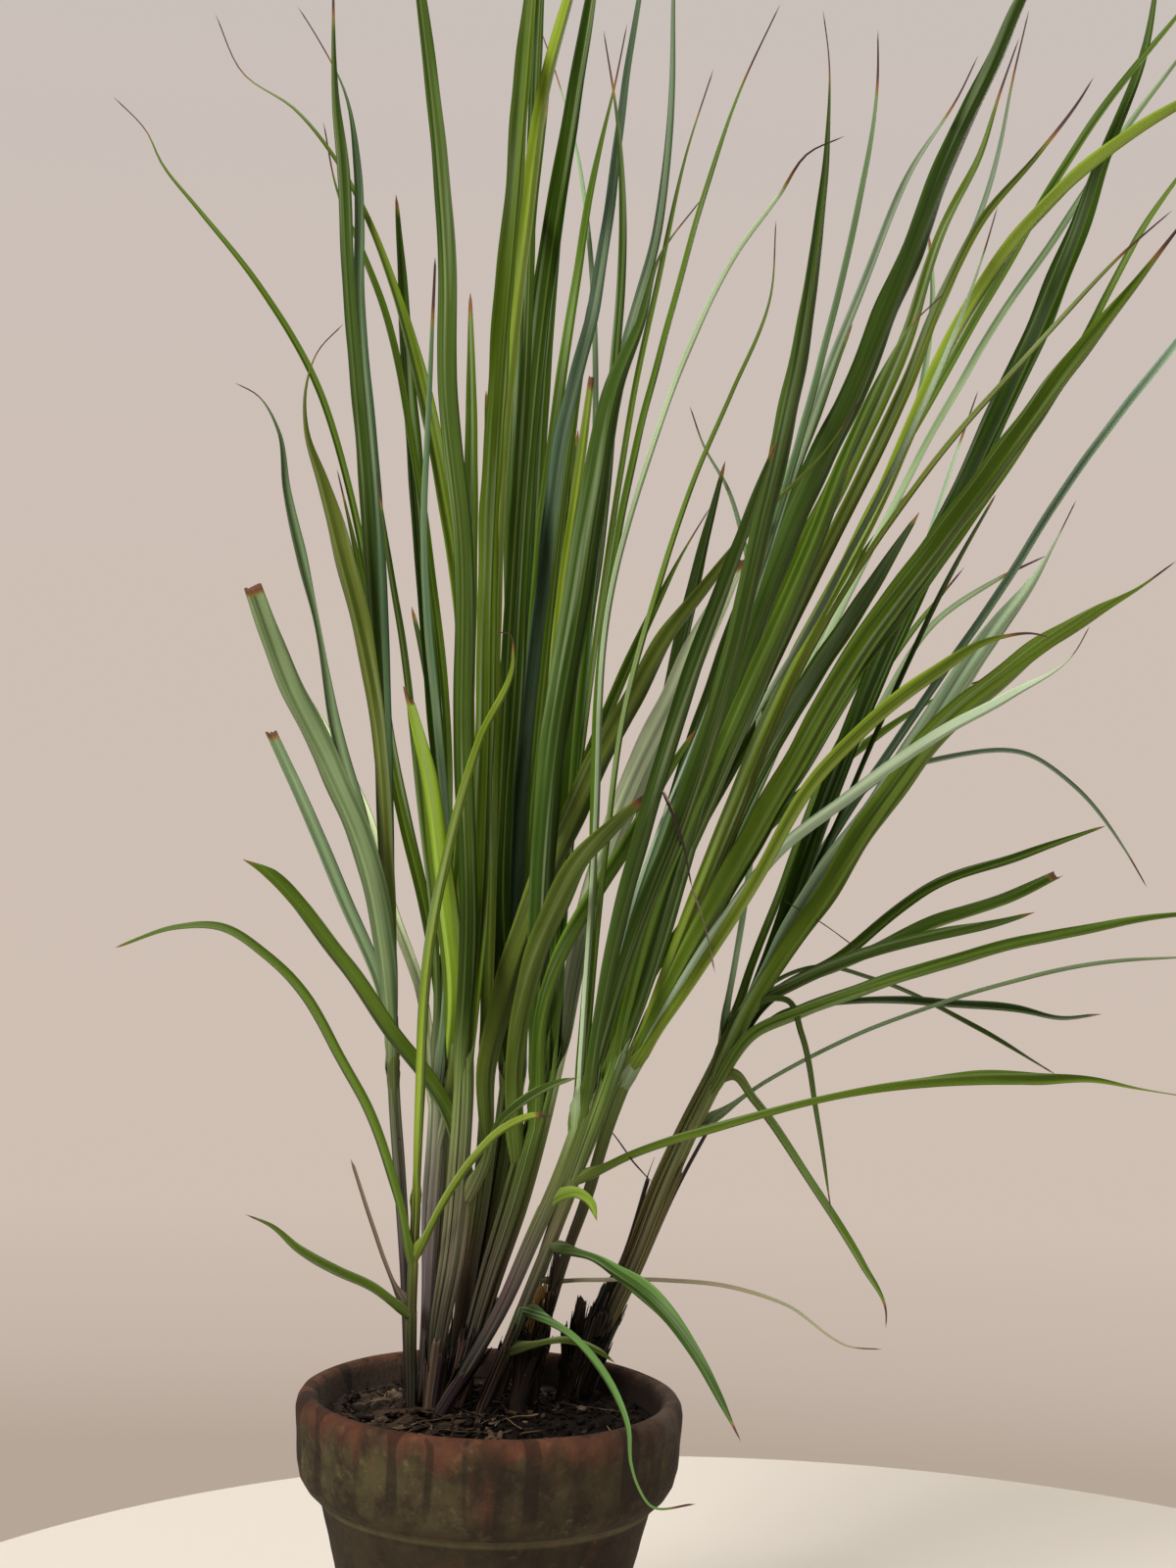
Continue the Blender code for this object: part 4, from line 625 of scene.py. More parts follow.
def leaf_material():
    """Living grass leaf, satin: painted light, painted shade and a painted sheen in soft bands along it,
    and tips dried to brown.
    """
    material, tree, shader = new_material("living_grass_leaf", {"IOR": 1.42, "Specular IOR Level": 0.10})
    tone = add_node(tree, "Attribute", output="Color", attribute_name="tone")
    dryness = add_node(tree, "Attribute", output="Fac", attribute_name="dryness")
    sheath = add_node(tree, "Attribute", output="Fac", attribute_name="sheath")
    place = add_node(tree, "TexCoord", output="Object")
    grain = add_node(tree, "TexCoord", output="UV")
    off_rib = add_node(tree, "Math", (add_node(tree, "SeparateXYZ", (grain,), "X"),), operation="ABSOLUTE")
    cloud = pattern(tree, place, (41.7, 41.7, 41.7))
    speck = pattern(tree, place, (3.333, 3.333, 6.667), 2.0)
    # Soft bands along the blade for painted light and painted shade, and for a painted sheen
    band = pattern(tree, grain, (3.8, 330.0, 330.0), 1.0)
    painted_sheen = pattern(tree, grain, (2.6, 170.0, 170.0), 1.0)
    # The veins are drawn up to three times wider than they are, so that they show
    streak = pattern(tree, grain, (0.9, 250.0, 250.0))
    fine = pattern(tree, grain, (0.45, 80.0, 80.0), 2.0)
    on_blade, on_sheath = (sheath, 1.0, 0.0), (sheath, 0.0, 1.0)

    # The blade: lighter clouds, bands of painted light and painted shade, a painted sheen, fine streaks and
    # a pale rib
    # A lit and paler copy of the leaf's tone: painted light in the bands, and the lighter clouds and veins
    lit_and_paler_tone = add_node(tree, "HueSaturation", {"Color": tone, "Value": 1.8, "Saturation": 0.94})
    colour = lay_over(tree, tone, lit_and_paler_tone, 0.30, (cloud, 0.40, 0.72))
    # Painted light, then painted shade, in long bands along the blade
    colour = lay_over(tree, colour, lit_and_paler_tone, 0.68, (band, 0.50, 0.64), on_blade)
    colour = lay_over(tree, colour, "#142a04", 0.60, (band, 0.50, 0.36), on_blade)
    # A painted sheen: pale blue-green bands that stand for the sky's reflection along the blade
    colour = lay_over(tree, colour, "#a3b88e", 0.42, (painted_sheen, 0.56, 0.72), on_blade)
    colour = lay_over(tree, colour, lit_and_paler_tone, 0.20, (streak, 0.50, 0.74))
    colour = lay_over(tree, colour, "#162204", 0.22, (fine, 0.52, 0.30))
    colour = lay_over(tree, colour, "#a3b070", 0.16, (off_rib, 0.0007, 0.0002), on_blade)

    # The sheath: pale veins that are partly painted highlights, and purple-brown veins
    pale_vein = lay_over(tree, lit_and_paler_tone, "#a39f92", 0.4)
    dark_vein = add_node(tree, "MixRGB", (1.0, tone, "#5b4046"), blend_type="MULTIPLY")
    colour = lay_over(tree, colour, pale_vein, 0.42, (streak, 0.54, 0.64), on_sheath)
    colour = lay_over(tree, colour, dark_vein, 0.85, (streak, 0.50, 0.34), on_sheath)

    # The dried tip, its edge made uneven by the streaks, and a few brown specks
    uneven = add_node(tree, "Math", (streak, 0.26, -0.13), operation="MULTIPLY_ADD")
    begun = share_where(tree, 1.0, (dryness, 0.0, 0.1))
    ragged = add_node(tree, "Math", (uneven, begun, dryness), operation="MULTIPLY_ADD")
    dried = graded(tree, ragged, [
        (0.20, "#7f7a3a"), (0.36, "#86603a"), (0.55, "#5a423a"), (0.95, "#4a3c3c")])
    colour = lay_over(tree, colour, dried, 1.0, (ragged, 0.08, 0.30))
    colour = lay_over(tree, colour, "#5a4326", 0.30, (speck, 0.72, 0.80))
    finish_colour(tree, shader, colour, streak, 0.00012, 0.6)
    rough = add_node(tree, "Math", (dryness, 0.45, 0.38), operation="MULTIPLY_ADD", use_clamp=True)
    tree.links.new(rough, shader.inputs["Roughness"])
    return material


def fired_clay_material():
    """Unglazed terracotta, wheel-thrown, filmed over by algae, soil and a little pale salt."""
    material, tree, shader = new_material("fired_clay_weathered", {
        "Roughness": 0.9, "IOR": 1.45, "Specular IOR Level": 0.25})
    place = add_node(tree, "TexCoord", output="Object")
    right = add_node(tree, "SeparateXYZ", (place,), "X")
    height = add_node(tree, "SeparateXYZ", (place,), "Z")
    patch = pattern(tree, place, (55.6, 55.6, 55.6), 4.0, 0.6)
    blot = pattern(tree, place, (21.7, 21.7, 21.7), 5.0, 0.65)
    fleck = pattern(tree, place, (6.67, 6.67, 6.67), 3.0, 0.7)
    # The grit is drawn several times coarser than it is, so that it shows
    grit = pattern(tree, place, (2.38, 2.38, 2.38), 4.0, 0.7)
    streak = pattern(tree, place, (18.18, 18.18, 143.0), 4.0, 0.6)
    wide_streak = pattern(tree, place, (41.7, 41.7, 333.0), 3.0, 0.5)
    run = pattern(tree, place, (19.23, 19.23, 1667.0), 2.0, 0.4)

    # The bare clay, and the film over it, whose upper edge wanders with the patches and streaks
    clay = lay_over(tree, "#4c2f23", "#653f2d", 1.0, (blot, 0.35, 0.65))
    clay = lay_over(tree, clay, "#3c281f", 1.0, (patch, 0.45, 0.70))
    clay = lay_over(tree, clay, "#7a523c", 0.5, (fleck, 0.55, 0.75))
    film = lay_over(tree, "#2a251a", "#3f3a27", 1.0, (blot, 0.38, 0.62))
    film = lay_over(tree, film, "#4d4631", 0.7, (fleck, 0.52, 0.72))
    film = lay_over(tree, film, "#231f17", 0.5, (height, 0.132, 0.120))
    film = lay_over(tree, film, "#1b1712", 0.55, (wide_streak, 0.52, 0.62))
    wander = add_node(tree, "Math", (patch, streak), operation="ADD")
    level = add_node(tree, "Math", (wander, 0.050, height), operation="MULTIPLY_ADD")
    colour = lay_over(tree, clay, film, 0.92, (level, 0.2265, 0.2140), (streak, 0.16, 0.42))

    # Moss on the left of the band, rust-red patches, and salt at the right
    moss = [(height, 0.128, 0.140), (height, 0.178, 0.168), (right, 0.020, -0.070), (blot, 0.44, 0.62)]
    colour = lay_over(tree, colour, "#4f4a2f", 0.70, *moss)
    colour = lay_over(tree, colour, "#7b7550", 0.70, *moss, (fleck, 0.58, 0.70))
    colour = lay_over(tree, colour, "#573323", 0.45, (patch, 0.56, 0.68), (streak, 0.46, 0.60))
    colour = lay_over(tree, colour, "#8d8270", 0.55, (fleck, 0.66, 0.74), (patch, 0.44, 0.58),
                      (right, -0.06, 0.07))

    # The lip darker and greyer at the right, partly wear and partly painted shade, and the inner wall,
    # dusty at the left
    worn = lay_over(tree, "#2c2520", "#50473c", 1.0, (blot, 0.4, 0.6))
    colour = lay_over(tree, colour, worn, 0.8, (right, 0.048, 0.088), (height, 0.160, 0.170))
    flat = add_node(tree, "VectorMath", (place, (1.0, 1.0, 0.0)), operation="MULTIPLY")
    radius = add_node(tree, "VectorMath", (flat,), "Value", operation="LENGTH")
    dust = lay_over(tree, "#1a1411", "#4c4138", 1.0, (right, -0.005, -0.060))
    colour = lay_over(tree, colour, dust, 0.85, (radius, 0.0900, 0.0872), (height, 0.130, 0.140))

    # Dark vertical streaks down the band, a painted highlight along the ridge under it, and grit all over
    colour = lay_over(tree, colour, "#211a15", 0.62, (run, 0.545, 0.565), (height, 0.134, 0.150))
    colour = lay_over(tree, colour, "#6b6248", 0.8, (height, 0.1245, 0.1262), (height, 0.1300, 0.1286),
                      (blot, 0.0, 1.0))
    colour = lay_over(tree, colour, "#1b1610", 0.35, (grit, 0.58, 0.75))
    bumps = add_node(tree, "Math", (grit, 0.5, fleck), operation="MULTIPLY_ADD")
    finish_colour(tree, shader, colour, bumps, 0.0010, 0.9)
    return material


def soil_material():
    """Moist potting soil: near black crumbs, brown where they catch the light, dusty at the left."""
    material, tree, shader = new_material("moist_potting_soil", {
        "Roughness": 0.95, "Specular IOR Level": 0.1})
    place = add_node(tree, "TexCoord", output="Object")
    right = add_node(tree, "SeparateXYZ", (place,), "X")
    crumb = pattern(tree, place, (3.85, 3.85, 3.85), 5.0, 0.7)
    patch = pattern(tree, place, (26.3, 26.3, 26.3))
    colour = graded(tree, crumb, [(0.25, "#070504"), (0.5, "#15100d"), (0.72, "#2b221c"), (0.9, "#4b3f35")])
    colour = lay_over(tree, colour, "#54473e", 0.80, (patch, 0.40, 0.60), (right, -0.020, -0.062))
    finish_colour(tree, shader, colour, crumb, 0.0022)
    return material


def dead_fibre_material():
    """Dead plant fibre: dull, streaked along the piece, in the piece's own tone, with pale spots."""
    material, tree, shader = new_material("dead_plant_fibre", {
        "Roughness": 0.85, "Specular IOR Level": 0.15})
    tone = add_node(tree, "Attribute", output="Color", attribute_name="tone")
    streak = pattern(tree, add_node(tree, "TexCoord", output="UV"), (0.5, 60.0, 60.0), 4.0)
    spot = pattern(tree, add_node(tree, "TexCoord", output="Object"), (6.25, 6.25, 6.25), 4.0, 0.6)
    dark = add_node(tree, "MixRGB", (1.0, tone, "#8a8078"), blend_type="MULTIPLY")
    light = add_node(tree, "MixRGB", (1.0, tone, "#1c1712"), blend_type="ADD")
    colour = lay_over(tree, dark, light, 1.0, (streak, 0.30, 0.70))
    colour = lay_over(tree, colour, "#8d8068", 0.5, (spot, 0.62, 0.72))
    bumps = add_node(tree, "Math", (streak, spot), operation="ADD")
    finish_colour(tree, shader, colour, bumps, 0.0005, 0.9)
    return material


def deselect_all():
    """Leaves nothing selected, in object mode."""
    if bpy.context.object and bpy.context.object.mode != "OBJECT":
        bpy.ops.object.mode_set(mode="OBJECT")
    bpy.ops.object.select_all(action="DESELECT")


def add_object(name, mesh):
    """A new object for a mesh, in the scene."""
    thing = bpy.data.objects.new(name, mesh)
    bpy.context.scene.collection.objects.link(thing)
    return thing


def make_active(thing):
    """Selects one object alone and makes it active."""
    deselect_all()
    thing.select_set(True)
    bpy.context.view_layer.objects.active = thing


def place_in_mesh(thing):
    """Moves an object's place, turn and scale into its mesh."""
    make_active(thing)
    bpy.ops.object.transform_apply(location=True, rotation=True, scale=True)


def apply_modifiers(thing):
    """Applies every modifier of an object, from the top."""
    make_active(thing)
    for modifier in list(thing.modifiers):
        bpy.ops.object.modifier_apply(modifier=modifier.name)


def face_outwards():
    """Turns every face of the piece in edit mode outwards, and goes back to object mode."""
    bpy.ops.mesh.select_all(action="SELECT")
    bpy.ops.mesh.normals_make_consistent(inside=False)
    bpy.ops.object.mode_set(mode="OBJECT")


def draw_out(radius, height, next_radius, next_height):
    """Extrudes the selected round edge to its next radius and height, in millimetres."""
    bpy.ops.mesh.extrude_region_move(
        TRANSFORM_OT_translate={"value": (0.0, 0.0, (next_height - height) * MM)})
    grow = next_radius / radius
    bpy.ops.transform.resize(value=(grow, grow, 1.0), center_override=(0.0, 0.0, next_height * MM))


def join_all(things, name):
    """Joins objects in one, under a name."""
    deselect_all()
    for thing in things:
        thing.select_set(True)
    bpy.context.view_layer.objects.active = things[0]
    if len(things) > 1:
        bpy.ops.object.join()
    things[0].name = name
    things[0].data.name = name
    return things[0]


def dress(thing, material, slot, *nodes):
    """Gives a finished piece its material and its body, and hides the solids of the nodes it stands for;
    the finish slot is not used.
    """
    thing.data.materials.clear()
    thing.data.materials.append(material)
    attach(thing, "root")
    if nodes:
        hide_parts(*nodes)
    return thing


def set_tones(mesh, tones):
    """A tone for each point of a mesh, from linear red, green and blue."""
    layer = mesh.attributes.new("tone", "FLOAT_COLOR", "POINT")
    rows = np.column_stack((tones, np.ones(len(tones))))
    layer.data.foreach_set("color", rows.astype(np.float32).ravel())


def dress_points(mesh, tones, dryness, sheath, places):
    """The tone, the dryness and the share of sheath at each point, and its flat place in metres."""
    set_tones(mesh, tones)
    for name, values in (("dryness", dryness), ("sheath", sheath)):
        layer = mesh.attributes.new(name, "FLOAT", "POINT")
        layer.data.foreach_set("value", values.astype(np.float32))
    corners = np.empty(len(mesh.loops), np.int32)
    mesh.loops.foreach_get("vertex_index", corners)
    mesh.uv_layers.active.data.foreach_set("uv", places[corners].astype(np.float32).ravel())
    mesh.update()


def smooth_line(points, count):
    """Evenly spaced samples of the smooth curve through (across, up, width) points."""
    points = np.array(points, float)
    steps = np.hypot(np.diff(points[:, 0]), np.diff(points[:, 1]))
    along = np.concatenate(([0.0], np.cumsum(steps)))
    slopes = np.gradient(points, along, axis=0)
    spots = np.linspace(0.0, along[-1], count)
    start = np.clip(np.searchsorted(along, spots, side="right") - 1, 0, len(steps) - 1)
    span = along[start + 1] - along[start]
    part = ((spots - along[start]) / span)[:, None]
    span = span[:, None]
    curve = (points[start] * (2 * part**3 - 3 * part**2 + 1)
             + slopes[start] * span * (part**3 - 2 * part**2 + part)
             + points[start + 1] * (3 * part**2 - 2 * part**3)
             + slopes[start + 1] * span * (part**3 - part**2))
    return curve, spots


def in_space(plane, depth):
    """Points of the upright plane, carried along their sight lines to their depths."""
    across, up = plane[:, 0], plane[:, 1]
    lean_cos, lean_sin = math.cos(PLANE_LEAN), math.sin(PLANE_LEAN)
    flat = np.stack((across * lean_cos - up * lean_sin,
                     np.zeros(len(plane)),
                     POT_HEIGHT + across * lean_sin + up * lean_cos), axis=1)
    reach = (depth - EYE[1]) / -EYE[1]
    return EYE + (flat - EYE) * reach[:, None]


def stem_line(depths, points):
    """The samples of a stem above the soil: plane points with widths, and depths."""
    line, along = smooth_line(points, STEM_SAMPLES)
    return line, depths[0] + (depths[1] - depths[0]) * along / along[-1]


def spread_value(number, step):
    """A number between 0 and 1 that differs from leaf to leaf."""
    return (number * step) % 1.0


def leaf_turn(number, line, share):
    """How far a leaf is turned out of the upright plane along its length, in radians."""
    first = TURN_AT_STEM + TURN_AT_STEM_SPREAD * spread_value(number, 0.6180)
    last = TURN_AT_TIP + TURN_AT_TIP_SPREAD * spread_value(number, 0.7549)
    run = np.gradient(line[:, 0], axis=0)
    rise = np.gradient(line[:, 1], axis=0)
    flat = np.abs(run) / np.hypot(run, rise)
    flat = np.convolve(np.pad(flat, 6, mode="edge"), np.ones(13) / 13, mode="valid")
    return np.radians(np.minimum(first + (last - first) * share + TURN_WHERE_FLAT * flat, MOST_TURN))


def at_height(heights, line, values):
    """A stem's values at heights, from its plane line."""
    return np.interp(heights, line[:, 1], values)


def lay_out_leaves():
    """Every leaf's tiller, tone, tip, plane line, depths and turn, before they are kept apart."""
    leaves = []
    for name, (depths, stem, rows) in TILLERS.items():
        line, stem_depth = stem_line(depths, stem)
        for tone, tip, join, lean, points in rows:
            root_depth = at_height(join, line, stem_depth)
            root_width = min(LEAF_WIDTH_AT_STEM * at_height(join, line, line[:, 2]), points[0][2])
            root = (at_height(join, line, line[:, 0]), join, root_width)
            leaf, along = smooth_line([root] + points, LEAF_SAMPLES)
            share = along / along[-1]
            turn = leaf_turn(len(leaves), leaf, share)
            half = np.maximum(leaf[:, 2] / 2.0, LEAF_LEAST_HALF_WIDTH) / np.cos(turn)
            leaves.append({
                "tiller": name,
                "tone": tone,
                "tip": tip,
                "join": join,
                "lean": lean,
                "points": [root] + points,
                "line": leaf,
                "along": along,
                "depth": root_depth + lean * share**LEAF_LEAN_POWER,
                "turn": turn,
                "half": half,
            })
    return leaves


def settle(leaves):
    """Moves the leaves' depths apart, along the sight lines only, where they would cross."""
    tiller_names = list(TILLERS)
    things = []
    for leaf in leaves:
        half, along = leaf["half"], leaf["along"]
        thick = half * np.sin(leaf["turn"]) + LEAF_FOLD * half + LEAF_THICKNESS / 2
        things.append((tiller_names.index(leaf["tiller"]), leaf["line"], thick, leaf["depth"],
                       np.clip(along / HELD_LENGTH, 0.0, 1.0), along / along[-1]))
    for tiller, (stem_depths, stem, _) in enumerate(TILLERS.values()):
        line, depth = stem_line(stem_depths, stem)
        still = np.zeros(len(line))
        things.append((tiller, line, line[:, 2] / 2.0 * STEM_FLATNESS, depth, still, still))
    owners = np.concatenate([np.full(len(thing[1]), number) for number, thing in enumerate(things)])
    tillers = np.concatenate([np.full(len(thing[1]), thing[0]) for thing in things])
    lines, thick, depths, freedom, shares = [np.concatenate(rows) for rows in list(zip(*things))[1:]]
    first, second = close_pairs(owners, tillers, lines[:, :2], lines[:, 2] / 2.0, shares)
    same = tillers[first] == tillers[second]
    needed = thick[first] + thick[second] + np.where(same, OWN_CLEARANCE, CLEARANCE)
    side = pair_sides(first, second, owners, depths, shares)
    leaf_points = len(leaves) * LEAF_SAMPLES
    for _ in range(SETTLE_ROUNDS):
        lack = np.maximum(needed - side * (depths[first] - depths[second]), 0.0) * side
        push = np.bincount(first, lack, len(depths)) - np.bincount(second, lack, len(depths))
        hits = np.bincount(first, lack != 0, len(depths)) + np.bincount(second, lack != 0, len(depths))
        push = (push / np.maximum(hits, 1.0) * freedom)[:leaf_points].reshape(len(leaves), -1)
        for _ in range(PUSH_SMOOTHING):
            padded = np.pad(push, ((0, 0), (2, 2)), mode="edge")
            push = (padded[:, :-4] + 2 * padded[:, 1:-3] + 3 * padded[:, 2:-2]
                    + 2 * padded[:, 3:-1] + padded[:, 4:]) / 9.0
        depths[:leaf_points] += PUSH_GAIN * push.ravel() * freedom[:leaf_points]
    for number, leaf in enumerate(leaves):
        leaf["depth"] = depths[number * LEAF_SAMPLES:(number + 1) * LEAF_SAMPLES]


def close_pairs(owners, tillers, spots, halves, shares):
    """Sample pairs of different leaves and stems that cover each other seen from the front."""
    firsts, seconds = [], []
    batch = 400
    for begin in range(0, len(owners), batch):
        end = min(begin + batch, len(owners))
        gap = np.hypot(spots[begin:end, None, 0] - spots[None, :, 0],
                       spots[begin:end, None, 1] - spots[None, :, 1])
        near = gap < halves[begin:end, None] + halves[None, :] + NEIGHBOUR_REACH
        near &= owners[begin:end, None] < owners[None, :]
        same = tillers[begin:end, None] == tillers[None, :]
        outer = (shares[begin:end, None] > OUTER_SHARE) & (shares[None, :] > OUTER_SHARE)
        rows, columns = np.nonzero(near & (outer | ~same))
        firsts.append(rows + begin)
        seconds.append(columns)
    return np.concatenate(firsts), np.concatenate(seconds)


def pair_sides(first, second, owners, depths, shares):
    """Which of each two is behind: +1 where the first is, told mostly by the lower ends."""
    groups, member = np.unique(owners[first] * len(owners) + owners[second], return_inverse=True)
    weight = np.exp(-LOWER_END_WEIGHT * (shares[first] + shares[second]))
    total = np.bincount(member, weight * (depths[first] - depths[second]), len(groups))
    return np.where(total[member] >= 0, 1.0, -1.0)


def unit(vectors):
    """Rows of vectors, each made one long."""
    return vectors / np.linalg.norm(vectors, axis=1)[:, None]


def strip_blank(rings, columns):
    """A flat closed strip, two wide and two long, to be copied, with the grid place of each point."""
    bpy.ops.mesh.primitive_grid_add(x_subdivisions=len(columns) - 1, y_subdivisions=rings - 1, size=2)
    blank = bpy.context.object
    solidify = blank.modifiers.new("thickness", "SOLIDIFY")
    solidify.thickness = 0.02
    solidify.offset = 0.0
    apply_modifiers(blank)
    bpy.ops.object.shade_smooth()
    spots = mesh_points(blank.data)
    return {
        "object": blank,
        "rings": rings,
        "columns": columns,
        "face": (spots[:, 2] > 0).astype(int),
        "ring": np.rint((spots[:, 1] + 1) / 2 * (rings - 1)).astype(int),
        "column": np.rint((spots[:, 0] + 1) / 2 * (len(columns) - 1)).astype(int),
    }


def tube_blank():
    """An upright closed tube, one in radius and one high, that every stem and stub is a copy of."""
    bpy.ops.mesh.primitive_circle_add(vertices=TUBE_SIDES, radius=1.0, fill_type="NGON")
    blank = bpy.context.object
    bpy.ops.object.mode_set(mode="EDIT")
    for _ in range(TUBE_RINGS - 1):
        bpy.ops.mesh.extrude_region_move(
            TRANSFORM_OT_translate={"value": (0.0, 0.0, 1.0 / (TUBE_RINGS - 1))})
    face_outwards()
    bpy.ops.object.shade_smooth_by_angle(angle=math.radians(50))
    blank.name = "tube_blank"
    return blank


def mesh_points(mesh):
    """A mesh's points as rows."""
    spots = np.empty(len(mesh.vertices) * 3)
    mesh.vertices.foreach_get("co", spots)
    return spots.reshape(-1, 3)


def laid_strip(blank, name, surface, tones, dryness, shape, along):
    """A copy of the strip with each point in its place, coloured, and mapped in metres."""
    face, ring, column = blank["face"], blank["ring"], blank["column"]
    mesh = blank["object"].data.copy()
    mesh.vertices.foreach_set("co", surface[face, ring, column].ravel())
    across = shape["half"][ring] * blank["columns"][column] * MM
    places = np.column_stack((across, along[ring]))
    dress_points(mesh, tones[face, ring], dryness[ring], shape["wrap"][ring], places)
    return add_object(name, mesh)


def smoothstep(low, high, value):
    """0 below low, 1 above high, and smooth between."""
    part = np.clip((value - low) / (high - low), 0.0, 1.0)
    return part * part * (3 - 2 * part)


def smoothed(rows, rounds):
    """Rows of vectors or numbers, blended with their neighbours with the ends kept."""
    rows = rows.copy()
    for _ in range(rounds):
        rows[1:-1] = (rows[:-2] + 2 * rows[1:-1] + rows[2:]) / 4
    return rows


def moving_frame(centres):
    """Directions along, sideways and away at each point of a line, as seen from the front."""
    tangent = unit(smoothed(np.gradient(centres, axis=0), 2))
    sight = unit(centres - EYE * MM)
    sideways = unit(np.cross(sight, tangent))
    return tangent, sideways, np.cross(tangent, sideways)


def strip_surface(columns, centres, tangent, across, upper, away, shape):
    """Both faces of a strip along its line: wrapped round its stem where wrap is 1, a blade where 0."""
    half, radius, wrap = shape["half"][:, None], shape["radius"][:, None], shape["wrap"][:, None]
    reach = half * columns
    angle = reach * (wrap**1.2 / radius)
    side = reach * np.sinc(angle / math.pi)
    rise = reach * angle / 2 * np.sinc(angle / math.tau)**2
    rise += (1 - wrap) * shape["fold"] * half * (np.sqrt(columns**2 + FOLD_ROUNDING) - FOLD_MIDDLE)
    rise += (1 - wrap) * shape["wave"][:, None] * half * columns**2
    offset = across[:, None] * side[..., None] + upper[:, None] * (rise - radius * wrap)[..., None]
    squash = (1 - STEM_FLATNESS) * wrap * np.einsum("rcx,rx->rc", offset, away)
    offset -= away[:, None] * squash[..., None]
    facing = upper[:, None] * np.cos(angle)[..., None] - across[:, None] * np.sin(angle)[..., None]
    thick = np.minimum(STRIP_THICKNESS, half * STRIP_THICKNESS_SHARE) * (1 - EDGE_THINNING * columns**2) / 2
    rib = np.minimum(RIB_HEIGHT, half * RIB_SHARE) * (1 - wrap) * np.exp(-(columns / RIB_WIDTH)**2)
    middle = centres[:, None] + (offset + tangent[:, None] * shape["end"][..., None]) * MM
    lower = middle - facing * (thick + rib)[..., None] * MM
    return np.stack((lower, middle + facing * thick[..., None] * MM))


def end_shape(tip, blank, rng):
    """How far each column's end lies past or short of the tip, in millimetres, ring by ring."""
    rings, columns = blank["rings"], blank["columns"]
    if tip not in RAGGED_ENDS:
        return np.zeros((rings, len(columns)))
    ragged = np.array([rng.uniform(-1.0, 1.0) for _ in columns]) * RAGGED_ENDS[tip]
    if tip == "torn":
        ragged += columns * TORN_SLANT
    last = np.clip((np.arange(rings) - (rings - 1 - RAGGED_RINGS)) / RAGGED_RINGS, 0.0, 1.0)
    return last[:, None] * ragged


def tip_dryness(tip, left, length, rng):
    """How dry the leaf is from stem to tip, by the distance left to the tip, in millimetres."""
    if tip not in DRYING_TIPS:
        return np.zeros(len(left))
    share, dryness = DRYING_TIPS[tip]
    zone = max(share * length * rng.uniform(0.7, 1.3), LEAST_DRYING_LENGTH)
    return dryness * (1 - smoothstep(0.25 * zone, zone, left))


def stem_tones(tones, rise):
    """A stem's colour at shares of its height, from three hex colours."""
    stops = np.array([linear(tone)[:3] for tone in tones])
    return np.stack([np.interp(rise, (0.15, 0.45, 1.0), stops[:, part]) for part in range(3)], axis=-1)


def bundled(radius):
    """How far a stem of this radius is a bundle of leaf feet: 0 for a thin one, 1 for a thick one."""
    return np.clip((radius - BUNDLE_FROM_RADIUS) / BUNDLE_RADIUS_SPAN, 0.0, 1.0)


def varied(tone, rng, light, red, blue):
    """A tone made lighter, redder and bluer by chance, each between two limits."""
    return tone * rng.uniform(*light) * np.array((rng.uniform(*red), 1.0, rng.uniform(*blue)))


def leaf_path(leaf, stem_points, stem_depth, base):
    """A leaf up its stem and along its blade: plane places, depths, turns, widths, and millimetres
    past the place where it leaves the stem."""
    heights = np.linspace(base, leaf["join"], SHEATH_RINGS, endpoint=False)
    held = np.column_stack((at_height(heights, stem_points, stem_points[:, 0]), heights))
    blade, along = smooth_line(leaf["points"], LEAF_RINGS - SHEATH_RINGS)
    blade_depth = smoothed(np.interp(along, leaf["along"], leaf["depth"]), 2)
    blade_turn = np.interp(along, leaf["along"], leaf["turn"])
    return (np.vstack((held, blade[:, :2])),
            np.concatenate((at_height(heights, stem_points, stem_depth), blade_depth)),
            np.concatenate((np.full(SHEATH_RINGS, leaf["turn"][0]), blade_turn)),
            np.concatenate((np.full(SHEATH_RINGS, blade[0, 2]), blade[:, 2])),
            np.concatenate((heights - leaf["join"], along)))


def leaf_tones(leaf, rise, stemmy, rng):
    """The leaf's own tone over its sheath's, for its paler under side and its upper side."""
    tone = varied(tone_of(TONES[leaf["tone"]]), rng, (0.86, 1.14), (0.92, 1.1), (0.85, 1.15))
    sheath_tone = stem_tones(SHEATH_TONES[leaf["tiller"]], rise)
    sheath_tone = varied(sheath_tone, rng, (0.65, 1.3), (0.9, 1.15), (0.85, 1.2))
    rows = tone + (sheath_tone - tone) * stemmy[:, None]
    return np.stack((rows * 1.3 + tone_of("#a9bd96") * 0.03, rows))


